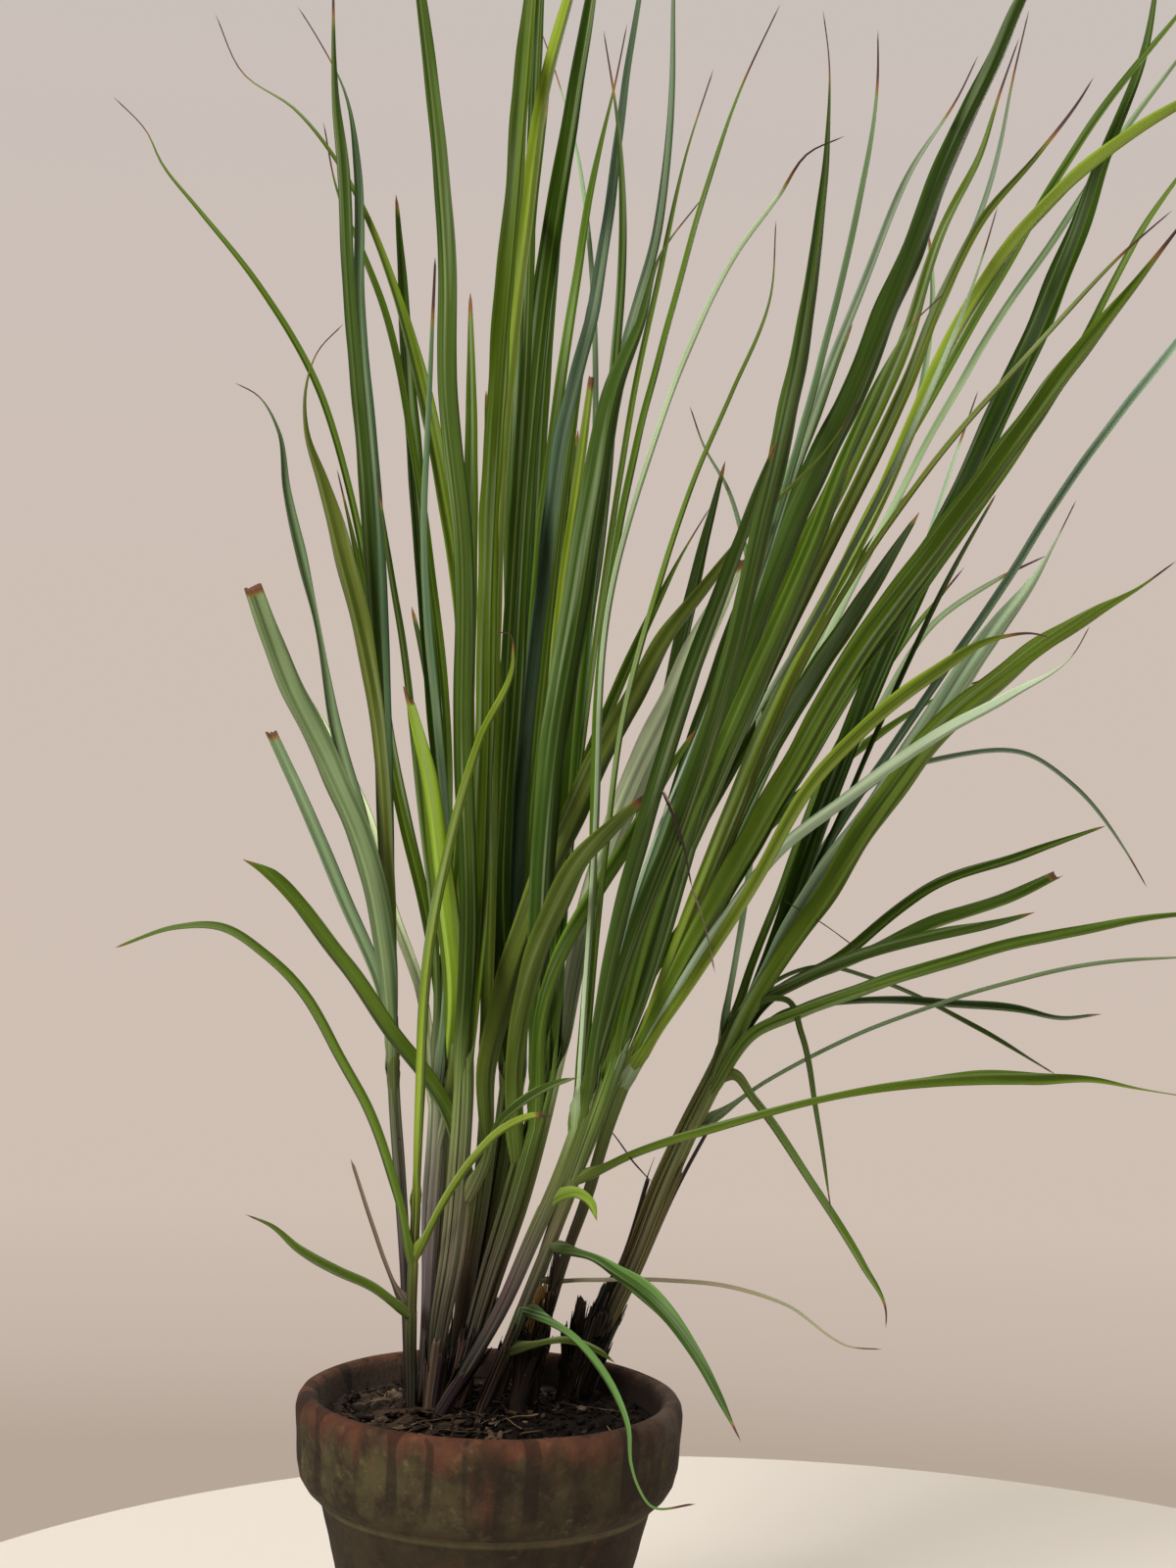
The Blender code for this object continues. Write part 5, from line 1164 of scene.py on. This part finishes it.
def make_leaf(blank, number, leaf, stem, sheath_to, place, rank):
    """One blade with the sheath that holds it, placed from its stem's left (-1) to its right (1)."""
    rng = random.Random(100 + number)
    depth_place = STEM_FLATNESS * rng.choice((-1.0, 1.0)) * math.sqrt(1.0 - min(place**2, 1.0))
    stem_points, stem_depth = stem
    base = max(sheath_to, stem_points[0, 1] - SHEATH_ROOT)
    plane, depth, turn, width, past = leaf_path(leaf, stem_points, stem_depth, base)
    length = past[-1]
    left = length - np.maximum(past, 0.0)

    # The directions along the leaf, and which way its upper side faces
    centres = in_space(plane, depth) * MM
    tangent, sideways, away = moving_frame(smoothed(centres, 1))
    facing = -1.0 if leaf["lean"] > 0 else 1.0
    inward = -1.0 if leaf["line"][-1, 0] > leaf["line"][0, 0] else 1.0
    upper = facing * away * np.cos(turn)[:, None] + inward * sideways * np.sin(turn)[:, None]
    upper = unit(smoothed(upper, 3))
    across = np.cross(tangent, upper)

    # How the sheath wraps its stem, and opens into the blade
    stem_width = at_height(np.where(past < 0, plane[:, 1], leaf["join"]), stem_points, stem_points[:, 2])
    stem_radius = stem_width / 2
    sunk = SHEATH_SINK * np.clip(-past / max(leaf["join"] - base, 1.0), 0.0, 1.0)
    bundle = bundled(stem_radius)
    radius = stem_radius * (1 - sunk) * (1 - BUNDLE_THINNING * bundle) * (1 - SHEATH_OVERLAP_STEP * rank)
    opening = OPENING_LENGTH + OPENING_PER_RADIUS * stem_radius[SHEATH_RINGS]
    wrap = 1 - smoothstep(0.0, opening, past)
    shift = (stem_radius - radius) * (1 - smoothstep(0.0, BUNDLE_SPREAD_HEIGHT, past)) * bundle * MM
    centres = centres + sideways * (shift * place)[:, None] + away * (shift * depth_place)[:, None]

    # Half the width: round the stem in the sheath, and drawn out to its tip in the blade
    half = np.maximum(width / 2, LEAST_HALF_WIDTH) / np.cos(turn) * (depth - EYE[1]) / -EYE[1]
    arc = math.radians(rng.uniform(*SHEATH_ARC)) * radius
    half = half + (arc - half) * wrap**3
    if leaf["tip"] not in ("cut", "torn"):
        half *= np.clip(left / (TAPER_HALF_WIDTHS * half + TAPER_LENGTH), BLUNTEST_TIP, 1.0)
    if leaf["tip"] == "hair":
        half *= 1.0 - HAIR_THINNING * (1 - smoothstep(HAIR_END_SHARE, HAIR_SHARE, left / length))

    waves = rng.uniform(0, 9)
    wave = np.array([noise.noise((0.03 * spot, waves, 0.0)) for spot in past]) * BLADE_WAVE
    shape = {"half": half, "radius": radius, "wrap": wrap, "wave": wave,
             "fold": LEAF_FOLD * rng.uniform(1.0, 2.2), "end": end_shape(leaf["tip"], blank, rng)}
    surface = strip_surface(blank["columns"], centres, tangent, across, upper, away, shape)
    rise = np.clip((plane[:, 1] - stem_points[0, 1]) / (stem_points[-1, 1] - stem_points[0, 1]), 0, 1)
    stemmy = 1 - smoothstep(-0.7 * opening, 1.1 * opening, past)
    tones = leaf_tones(leaf, rise, stemmy, rng)
    dryness = tip_dryness(leaf["tip"], left, length, rng)
    return laid_strip(blank, "leaf_%d" % number, surface, tones, dryness, shape,
                      (past + PATTERN_STEP * number) * MM)


def make_stem(blank, name, line, depth, tones, seed):
    """A stem's core: a faintly ridged tube along its line."""
    spots = mesh_points(blank.data)
    ring = np.rint(spots[:, 2] * (TUBE_RINGS - 1)).astype(int)
    angle = np.arctan2(spots[:, 1], spots[:, 0])
    centres = in_space(line, depth) * MM
    _, sideways, away = moving_frame(centres)
    ridges = np.array([noise.noise((2.2 * math.cos(a), 2.2 * math.sin(a), 0.15 * r + seed))
                       for a, r in zip(angle, ring)])
    above_soil = line[ring, 1] > line[ROOT_RINGS + 1, 1]
    slim = 0.86 - 0.22 * bundled(line[ring, 2] / 2) * above_soil
    reach = line[ring, 2] / 2 * slim * (1 + 0.07 * ridges) * MM
    placed = (centres[ring] + sideways[ring] * (np.cos(angle) * reach)[:, None]
              + away[ring] * (np.sin(angle) * reach * STEM_FLATNESS)[:, None])
    mesh = blank.data.copy()
    mesh.vertices.foreach_set("co", placed.ravel())
    places = np.column_stack((angle * reach, line[ring, 1] * MM))
    dress_points(mesh, stem_tones(tones, ring / (TUBE_RINGS - 1)), np.zeros(len(ring)),
                 np.ones(len(ring)), places)
    return add_object(name, mesh)


def rooted_line(points, depths):
    """A stem's line with the root that goes straight down into the soil."""
    line, along = smooth_line(points, TUBE_RINGS - ROOT_RINGS)
    depth = depths[0] + (depths[1] - depths[0]) * along / along[-1]
    roots = np.repeat(line[:1], ROOT_RINGS, axis=0)
    roots[:, 1] -= np.array((STEM_ROOT, STEM_ROOT / 2, 6.0))
    roots[:, 2] *= np.array((0.7, 0.9, 1.0))
    return np.vstack((roots, line)), np.concatenate((np.full(ROOT_RINGS, depths[0]), depth))


def resampled(rows, count):
    """Rows of numbers brought to another count, by even steps from the first to the last."""
    spots = np.linspace(0, len(rows) - 1, count)
    return np.stack([np.interp(spots, range(len(rows)), values) for values in rows.T], axis=1)


def sheath_scrap(blank, name, line, depth, turn, flare, arc, colour, rng):
    """A dead sheath that hugs a stem along part of its line and comes away at its torn top."""
    rings = blank["rings"]
    rows = resampled(np.column_stack((line, depth)), rings)
    up, radius = rows[:, 1], rows[:, 2] / 2
    centres = in_space(rows[:, :2], rows[:, 3]) * MM
    tangent, sideways, away = moving_frame(centres)
    share = np.linspace(0.0, 1.0, rings)
    angle = (turn + 0.5 * share * rng.uniform(-1, 1))[:, None]
    upper = -(sideways * np.cos(angle) + away * np.sin(angle))
    shape = {"half": arc * radius * (1.0 - 0.45 * share**3) + 0.2,
             "radius": radius * (1.05 + flare * share**2.2),
             "wrap": np.ones(rings), "wave": np.zeros(rings),
             "fold": 0.0, "end": end_shape("old", blank, rng)}
    across = np.cross(tangent, upper)
    surface = strip_surface(blank["columns"], centres, tangent, across, upper, away, shape)
    tones = np.broadcast_to(tone_of(colour) * rng.uniform(0.7, 1.3), (2, rings, 3))
    return laid_strip(blank, name, surface, tones, np.zeros(rings), shape, up * MM + rng.uniform(0, 5))


def old_sheaths(blank, name, line, depth, flare=0.5):
    """The dead sheath scraps at the foot of a stem or stub."""
    rng = random.Random(name)
    count, tallest = OLD_SHEATHS[name]
    dark = name in STUBS or name == THICK_STEM
    scraps = []
    for _ in range(count):
        top = line[ROOT_RINGS, 1] + tallest * rng.uniform(0.35, 1.0)
        held = line[:, 1] < top
        held[0] = True
        colour = rng.choice(DARK_SHEATH_TONES if dark else OLD_SHEATH_TONES)
        scraps.append(sheath_scrap(blank, name + " scrap", line[held], depth[held],
                                   rng.uniform(0, math.tau), rng.uniform(0.05, flare),
                                   rng.uniform(0.4, 1.2), colour, rng))
    if name == THICK_STEM:
        scraps += peeled_sheaths(blank, name, line, depth, rng)
    return scraps


def peeled_sheaths(blank, name, line, depth, rng):
    """The sheaths that have come away from the thick stem."""
    peels = []
    for low, high, turn, flare, colour in PEELED_SHEATHS:
        held = (line[:, 1] > low) & (line[:, 1] < high)
        peels.append(sheath_scrap(blank, name + " peel", line[held], depth[held], math.radians(turn),
                                  flare, 0.6, colour, rng))
    return peels


def make_strands(blank, material, leaves):
    """Thin dead strands that lie on the leaves in front."""
    rng = random.Random(23)
    spots = np.concatenate([leaf["line"][:, :2] for leaf in leaves])
    depths = np.concatenate([leaf["depth"] for leaf in leaves])
    parts = []
    for colour, width, points in STRANDS:
        line, _ = smooth_line([(*point, width) for point in points], STRAND_SAMPLES)
        lying = np.full(STRAND_SAMPLES, np.nan)
        for number, (across, up, _) in enumerate(line):
            near = np.hypot(spots[:, 0] - across, spots[:, 1] - up) < 9.0
            if near.any():
                lying[number] = depths[near].min() - 3.0
        known = ~np.isnan(lying)
        lying = np.interp(range(STRAND_SAMPLES), np.flatnonzero(known), lying[known])
        path = in_space(line[:, :2], smoothed(lying, 12))
        parts.append(straw(blank, "strand", path, width, colour, rng))
    dress(join_all(parts, "dead_strands"), material, "old_stem")


def core_points(name):
    """A stem's (across, up, width) points, the thick one slimmed to its core."""
    slim = THICK_STEM_CORE if name == THICK_STEM else 1.0
    return [(across, up, width * slim) for across, up, width in TILLERS[name][1]]


def make_blades(blank, name, depths, points, leaves):
    """The leaves of one stem, each with its sheath, set round the stem by where the leaf goes."""
    own = [(number, leaf) for number, leaf in enumerate(leaves) if leaf["tiller"] == name]
    joins = sorted(leaf["join"] for _, leaf in own)
    heading = np.array([leaf["line"][14, 0] - leaf["line"][0, 0] for _, leaf in own])
    places = np.argsort(np.argsort(heading)) / max(len(own) - 1, 1) * 2 - 1
    thick = max(width for _, _, width in points) > THICK_STEM_WIDTH
    blades = []
    for (number, leaf), place in zip(own, places):
        below = [join for join in joins if join < leaf["join"] - LEAST_JOIN_GAP]
        sheath_to = points[0][1] if thick or not below else below[-1] - SHEATH_DROP
        blades.append(make_leaf(blank, number, leaf, stem_line(depths, points), sheath_to, place,
                                len(below)))
    return blades


def make_tillers(strip, scrap, tube, material, leaves):
    """Every leafy stem: its core, its sheaths and its blades, joined in one piece."""
    for order, (name, (depths, _, _)) in enumerate(TILLERS.items()):
        points = core_points(name)
        line, depth = rooted_line(points, depths)
        parts = [make_stem(tube, name + " core", line, depth, SHEATH_TONES[name], order)]
        parts += make_blades(strip, name, depths, points, leaves)
        parts += old_sheaths(scrap, name, line, depth)
        dress(join_all(parts, name + "_blades"), material, "leafy_stem", name)


def inner_radius(height):
    """Radius of the pot's inner wall at a height."""
    share = (height - FLOOR_THICKNESS) / (LIP_INNER_HEIGHT - FLOOR_THICKNESS)
    return FLOOR_RADIUS + (LIP_INNER_RADIUS - FLOOR_RADIUS) * share


def soil_rise(across, back):
    """Height of the soil's surface over its level, in millimetres: a mound and low dips."""
    off_centre = math.hypot(across - CLUMP_CENTRE[0], back - CLUMP_CENTRE[1])
    mound = CLUMP_RISE * math.exp(-off_centre**2 / (2 * CLUMP_SPREAD**2))
    long_dips = 0.9 * math.sin(across / 9.0 + 1.0) * math.cos(back / 11.0)
    short_dips = 0.5 * math.sin((across + back) / 5.0)
    return mound + long_dips + short_dips


def pot_outline():
    """The pot's half section as (radius, height) points, from its foot up, over the lip and down inside."""
    top, band, body = POT_HEIGHT, BAND_BOTTOM_HEIGHT, BODY_TOP_RADIUS
    corners = [
        (FOOT_RADIUS - 2.5, 0.0), (FOOT_RADIUS - 0.7, 0.7), (FOOT_RADIUS, 2.5),
        (body, band - 4.5), (body + 1.6, band - 2.6), (body + 2.0, band - 0.6), (body + 4.6, band + 0.8),
        (91.8, band + 4.0), (95.2, band + 9.5), (96.9, band + 17.0), (RIM_RADIUS - 0.5, top - 16.0),
        (RIM_RADIUS, top - 8.0), (RIM_RADIUS - 0.7, top - 4.2), (RIM_RADIUS - 2.6, top - 1.3),
        (RIM_RADIUS - 5.4, top), (RIM_RADIUS - 8.3, top - 0.7), (LIP_INNER_RADIUS + 0.9, top - 3.0),
        (LIP_INNER_RADIUS, LIP_INNER_HEIGHT), (FLOOR_RADIUS, FLOOR_THICKNESS),
    ]
    outline = corners[:1]
    for (radius, height), (next_radius, next_height) in zip(corners, corners[1:]):
        wider, higher = next_radius - radius, next_height - height
        steps = max(1, round(math.hypot(wider, higher) / POT_STEP))
        outline += [(radius + wider * step / steps, height + higher * step / steps)
                    for step in range(1, steps + 1)]
    return outline


def wear(pot):
    """The marks of the wheel and of wear, on all but the foot and the inner floor."""
    for vertex in pot.data.vertices:
        spot = vertex.co
        outward = Vector((spot.x, spot.y, 0.0)).normalized()
        slow = noise.noise(Vector((spot.x, spot.y, spot.z * 2.0)) * 14.0)
        worn = noise.noise(spot * 75.0)
        thrown = math.sin(spot.z / MM / 2.6 + 1.5 * noise.noise(spot * 9.0))
        if spot.z > 0.001 and spot.length > FLOOR_RADIUS * MM:
            vertex.co += outward * (0.45 * slow + 0.22 * worn + 0.10 * thrown) * MM
            vertex.co.z += 0.35 * slow * MM * float(spot.z > 0.17)


def drill_holes(pot):
    """The drain holes, cut through the pot's floor."""
    for number in range(DRAIN_HOLES):
        angle = math.tau * (number + 0.25) / DRAIN_HOLES
        bpy.ops.mesh.primitive_cylinder_add(
            vertices=32, radius=DRAIN_HOLE_RADIUS * MM, depth=3 * FLOOR_THICKNESS * MM,
            location=(DRAIN_HOLE_CIRCLE * MM * math.cos(angle), DRAIN_HOLE_CIRCLE * MM * math.sin(angle),
                      FLOOR_THICKNESS / 2 * MM))
        drill = bpy.context.object
        place_in_mesh(drill)
        hole = pot.modifiers.new("drain hole", "BOOLEAN")
        hole.operation = "DIFFERENCE"
        hole.object = drill
        apply_modifiers(pot)
        bpy.data.objects.remove(drill)


def make_pot(material):
    """The fired clay pot, drawn up from its foot, with the marks of the wheel and of wear."""
    outline = pot_outline()
    bpy.ops.mesh.primitive_circle_add(vertices=POT_SIDES, radius=outline[0][0] * MM, fill_type="NGON")
    pot = bpy.context.object
    bpy.ops.object.mode_set(mode="EDIT")
    for ring, next_ring in zip(outline, outline[1:]):
        draw_out(*ring, *next_ring)
    face_outwards()
    wear(pot)
    drill_holes(pot)
    make_active(pot)
    bpy.ops.object.shade_smooth_by_angle(angle=math.radians(40))
    pot.name = "pot_weathered"
    dress(pot, material, "pot", "pot")


def make_soil(material):
    """The soil: a plug that fills the pot, with a crumbly top."""
    low = FLOOR_THICKNESS + SEAT_GAP
    wall_gap = SEAT_GAP * 1.6
    foot = inner_radius(low) - wall_gap
    edge = inner_radius(SOIL_LEVEL) - wall_gap
    bpy.ops.mesh.primitive_circle_add(vertices=SOIL_SIDES, radius=foot * MM, fill_type="NGON",
                                      location=(0.0, 0.0, low * MM))
    soil = bpy.context.object
    bpy.ops.object.mode_set(mode="EDIT")
    draw_out(foot, low, edge, SOIL_LEVEL)
    radius = edge
    while radius > 3.0:
        next_radius = radius - (1.2 + 0.5 * (edge - radius) / edge)
        draw_out(radius, SOIL_LEVEL, next_radius, SOIL_LEVEL)
        radius = next_radius
    face_outwards()
    for vertex in soil.data.vertices:
        across, back, height = vertex.co / MM
        out = math.hypot(across, back)
        if height > SOIL_LEVEL - 0.5 and out < edge - 0.5:
            clods = noise.noise((across / CLOD_SIZE, back / CLOD_SIZE, 0.0)) * CLOD_HEIGHT
            crumbs = noise.noise((across / CRUMB_SIZE, back / CRUMB_SIZE, 5.0)) * CRUMB_HEIGHT
            free = min(1.0, (edge - out) / 4.0)
            vertex.co.z += (soil_rise(across, back) + clods + crumbs - 0.6) * free * MM
    make_active(soil)
    bpy.ops.object.shade_smooth_by_angle(angle=math.radians(60))
    soil.name = "soil_crumbly"
    dress(soil, material, "soil", "soil")


def soil_spot(rng, reach=80.0):
    """A place on the soil: across, back and height, in millimetres."""
    while True:
        across, back = rng.uniform(-reach, reach), rng.uniform(-reach, reach)
        if math.hypot(across, back) < reach:
            return across, back, SOIL_LEVEL + soil_rise(across, back)


def make_crumbs(material, fibre):
    """Loose crumbs of soil and bits of bark, each a copy of one lump or one chip."""
    rng = random.Random(5)
    bpy.ops.mesh.primitive_ico_sphere_add(subdivisions=2, radius=1.0)
    lump = bpy.context.object
    for vertex in lump.data.vertices:
        vertex.co *= 1.0 + 0.35 * noise.noise(vertex.co * 1.7)
    bpy.ops.object.shade_smooth()
    bpy.ops.mesh.primitive_cube_add(size=1.0)
    chip = bpy.context.object
    bevel = chip.modifiers.new("worn edges", "BEVEL")
    bevel.width = 0.16
    bevel.segments = 2
    apply_modifiers(chip)
    bpy.ops.object.shade_smooth_by_angle(angle=math.radians(40))
    crumbs, bark = [], []
    for _ in range(CRUMBS):
        across, back, height = soil_spot(rng)
        length = rng.uniform(0.5, 1.5) * (1.0 + 1.4 * (rng.random() < 0.12))
        size = (length, length * rng.uniform(0.7, 1.2), length * 0.75)
        crumbs.append(copy_at(lump, rng, (across, back, height + length * 0.35), size))
    for _ in range(CHIPS):
        across, back, height = soil_spot(rng)
        length = rng.uniform(2.0, 6.5)
        size = (length, length * rng.uniform(0.3, 0.7), rng.uniform(0.8, 1.8))
        piece = copy_at(chip, rng, (across, back, height + 0.7), size)
        tone = tone_of(rng.choice(BARK_TONES))
        set_tones(piece.data, np.tile(tone, (len(piece.data.vertices), 1)))
        bark.append(piece)
    bpy.data.objects.remove(lump)
    bpy.data.objects.remove(chip)
    dress(join_all(crumbs, "soil_crumbs"), material, "soil")
    dress(join_all(bark, "bark_bits"), fibre, "old_stem")


def copy_at(thing, rng, place, size):
    """A copy of a piece, turned at random and placed, with its own mesh (millimetres)."""
    mesh = thing.data.copy()
    heading = Matrix.Rotation(rng.uniform(0, math.tau), 4, "Z")
    tilt = Matrix.Rotation(rng.uniform(-0.5, 0.5), 4, "X")
    stretch = Matrix.Diagonal((*(side * MM for side in size), 1.0))
    mesh.transform(Matrix.Translation(Vector(place) * MM) @ (heading @ tilt) @ stretch)
    return add_object(thing.name, mesh)


def straw(blank, name, points, width, colour, rng):
    """A dead leaf scrap lying along points in millimetres."""
    rings = blank["rings"]
    centres = smoothed(resampled(np.array(points, float), rings), 3) * MM
    tangent = unit(np.gradient(centres, axis=0))
    roll = rng.uniform(-0.7, 0.7) + np.linspace(0, rng.uniform(-1.2, 1.2), rings)
    level = unit(np.cross(tangent, np.array((0.0, 0.0, 1.0))) + 1e-6)
    upright = np.cross(level, tangent)
    across = level * np.cos(roll)[:, None] + upright * np.sin(roll)[:, None]
    upper = np.cross(across, tangent)
    share = np.linspace(0, 1, rings)
    ends = np.clip(share / 0.04, 0.3, 1) * np.clip((1 - share) / 0.06, 0.25, 1)
    shape = {"half": width / 2 * (0.75 + 0.25 * np.sin(share * 3.0)) * ends,
             "radius": np.full(rings, 9.0), "wrap": np.zeros(rings),
             "wave": 0.3 * np.sin(share * 9.0 + rng.uniform(0, 6)),
             "fold": rng.uniform(0.1, 0.6), "end": end_shape("torn", blank, rng) * 0.4}
    surface = strip_surface(blank["columns"], centres, tangent, across, upper, upright, shape)
    tones = np.broadcast_to(tone_of(colour) * rng.uniform(0.8, 1.15), (2, rings, 3))
    along = (share * 40.0 + rng.uniform(0, 900)) * MM
    return laid_strip(blank, name, surface, tones, np.full(rings, 0.7), shape, along)


def straw_line(across, back, rng):
    """A bent line over the soil in millimetres, which stops short of the pot's wall."""
    heading = rng.uniform(0, math.tau)
    length = rng.uniform(*STRAW_LENGTH)
    last = STRAW_POINTS - 1
    points = []
    for step in range(STRAW_POINTS):
        heading += rng.uniform(-0.25, 0.25)
        here = (across + math.cos(heading) * length * step / last,
                back + math.sin(heading) * length * step / last)
        if math.hypot(*here) > STRAW_END_REACH:
            break
        lift = rng.uniform(0.6, 2.2) + 0.9 * (step in (0, last))
        points.append((*here, SOIL_LEVEL + soil_rise(*here) + lift))
    return points


def make_litter(blank, material):
    """Straw and leaf scraps that lie on the soil, most at the left."""
    rng = random.Random(11)
    parts = []
    for number in range(STRAWS):
        across, back, _ = soil_spot(rng, LITTER_REACH)
        if across > -10 and rng.random() < 0.55:
            across = -abs(across) * 0.8
        if number < LEAF_SCRAPS:
            across = -rng.uniform(35.0, 72.0)
            back = rng.uniform(-38.0, 34.0)
        points = straw_line(across, back, rng)
        if len(points) < 3:
            continue
        width = rng.uniform(4.0, 9.0) if number < LEAF_SCRAPS else rng.choice((0.5, 0.8, 1.2, 1.8, 2.8))
        parts.append(straw(blank, "straw_%d" % number, points, width, rng.choice(STRAW_TONES), rng))
    dress(join_all(parts, "straw_litter"), material, "old_stem")


def break_top(core, top, width, rng):
    """Breaks the flat end of a stub's core off ragged, round the middle of its top."""
    for vertex in core.data.vertices:
        off_top = vertex.co / MM - top
        if off_top.length < width * 0.7 and off_top.z > -1.5:
            vertex.co.z += rng.uniform(-2.5, 2.5) * MM


def stub_fibres(blank, name, line, depth, foot_width, rng):
    """The fibres that stand up round a stub and flare from it."""
    fibres = []
    for number in range(STUB_FIBRES):
        angle = math.tau * number / STUB_FIBRES + rng.uniform(-0.3, 0.3)
        start = rng.randrange(4, TUBE_RINGS // 2)
        spine = in_space(line[start:], depth[start:])
        out = np.array((math.cos(angle), math.sin(angle) * STEM_FLATNESS, 0.0))
        flare = np.linspace(0.0, 1.0, len(spine))[:, None]**2 * rng.uniform(0.0, 3.4)
        path = spine + out * (line[start:, 2:3] / 2 * 0.88 + flare)
        keep = max(4, int(len(path) * rng.uniform(0.55, 1.0)))
        colour = rng.choice(STUB_TONES[name] + (STUB_FIBRE_TONES[name],))
        width = rng.choice((0.5, 0.7, 0.35 * foot_width))
        fibres.append(straw(blank, name + "_fibre", path[:keep], width, colour, rng))
    return fibres


def make_stubs(tube, blank, material):
    """The old stem stubs: fibrous, broken off ragged."""
    rng = random.Random(3)
    for order, (name, (middle_depth, points)) in enumerate(STUBS.items()):
        line, depth = rooted_line(points, (middle_depth, middle_depth))
        line[:, 2] *= 1.12
        core = make_stem(tube, name + " core", line, depth, STUB_TONES[name], 20 + order)
        break_top(core, Vector(in_space(line[-1:], depth[-1:])[0]), points[-1][2], rng)
        parts = [core] + old_sheaths(blank, name, line, depth, 2.2)
        parts += stub_fibres(blank, name, line, depth, points[0][2], rng)
        dress(join_all(parts, name + "_fibres"), material, "old_stem", name)


def make_floor():
    """The pale round floor disc that the pot stands on."""
    material, _, _ = new_material("matt_studio_card", {"Roughness": 0.9, "Base Color": linear("#e8e4dc")})
    bpy.ops.mesh.primitive_circle_add(vertices=256, radius=FLOOR_DISC_RADIUS, fill_type="NGON",
                                      location=(*FLOOR_DISC_CENTRE, 0.0))
    disc = bpy.context.object
    bpy.ops.object.mode_set(mode="EDIT")
    bpy.ops.mesh.extrude_region_move(TRANSFORM_OT_translate={"value": (0.0, 0.0, -FLOOR_DISC_THICKNESS)})
    face_outwards()
    place_in_mesh(disc)
    disc.name = "studio_floor"
    disc.data.materials.append(material)


def make_lights():
    """Square area lights that shine at the middle of the plant."""
    for name, (place, size, power, colour) in LIGHTS.items():
        bpy.ops.object.light_add(type="AREA", location=place)
        light = bpy.context.object
        light.name = name
        light.data.size = size
        light.data.energy = power
        light.data.color = linear(colour)[:3]
        light.rotation_mode = "QUATERNION"
        light.rotation_quaternion = (Vector(LIT_POINT) - light.location).to_track_quat("-Z", "Y")


def make_backdrop():
    """The plain pale backdrop, which lights the plant less than it shows."""
    world = bpy.data.worlds.new("studio")
    bpy.context.scene.world = world
    world.use_nodes = True
    tree = world.node_tree
    background = tree.nodes["Background"]
    facing = add_node(tree, "TexCoord", output="Generated")
    height = add_node(tree, "SeparateXYZ", (facing,), "Z")
    rise = add_node(tree, "MapRange", (height, *BACKDROP_HEIGHTS))
    seen = add_node(tree, "LightPath", output="Is Camera Ray")
    strength = add_node(tree, "MapRange", {"Value": seen, "To Min": ROOM_LIGHT, "To Max": 1.0})
    tree.links.new(graded(tree, rise, BACKDROP), background.inputs["Color"])
    tree.links.new(strength, background.inputs["Strength"])
    bpy.context.scene.view_settings.view_transform = "Standard"


def make_camera():
    """The camera, level and rolled, at its eye."""
    bpy.ops.object.camera_add()
    camera = bpy.context.object
    camera.name = "photo_camera"
    right = Vector((math.cos(PLANE_LEAN), 0.0, math.sin(PLANE_LEAN)))
    up = Vector((-math.sin(PLANE_LEAN), 0.0, math.cos(PLANE_LEAN)))
    turn = Matrix((right, up, Vector((0.0, -1.0, 0.0)))).transposed()
    camera.matrix_world = Matrix.Translation(Vector(EYE) * MM) @ turn.to_4x4()
    camera.data.sensor_width = 36.0
    camera.data.lens = CAMERA_LENS
    camera.data.dof.use_dof = False
    bpy.context.scene.camera = camera


def main():
    """Makes the pieces and the stage round them."""
    deselect_all()
    green, clay = leaf_material(), fired_clay_material()
    soil, fibre = soil_material(), dead_fibre_material()
    strip, scrap = strip_blank(LEAF_RINGS, LEAF_COLUMNS), strip_blank(SCRAP_RINGS, SCRAP_COLUMNS)
    tube = tube_blank()
    leaves = lay_out_leaves()
    settle(leaves)
    make_tillers(strip, scrap, tube, green, leaves)
    make_pot(clay)
    make_soil(soil)
    make_crumbs(soil, fibre)
    make_litter(scrap, fibre)
    make_strands(scrap, fibre, leaves)
    make_stubs(tube, scrap, fibre)
    for blank in (strip["object"], scrap["object"], tube):
        bpy.data.objects.remove(blank)
    make_floor()
    make_backdrop()
    make_lights()
    make_camera()


main()
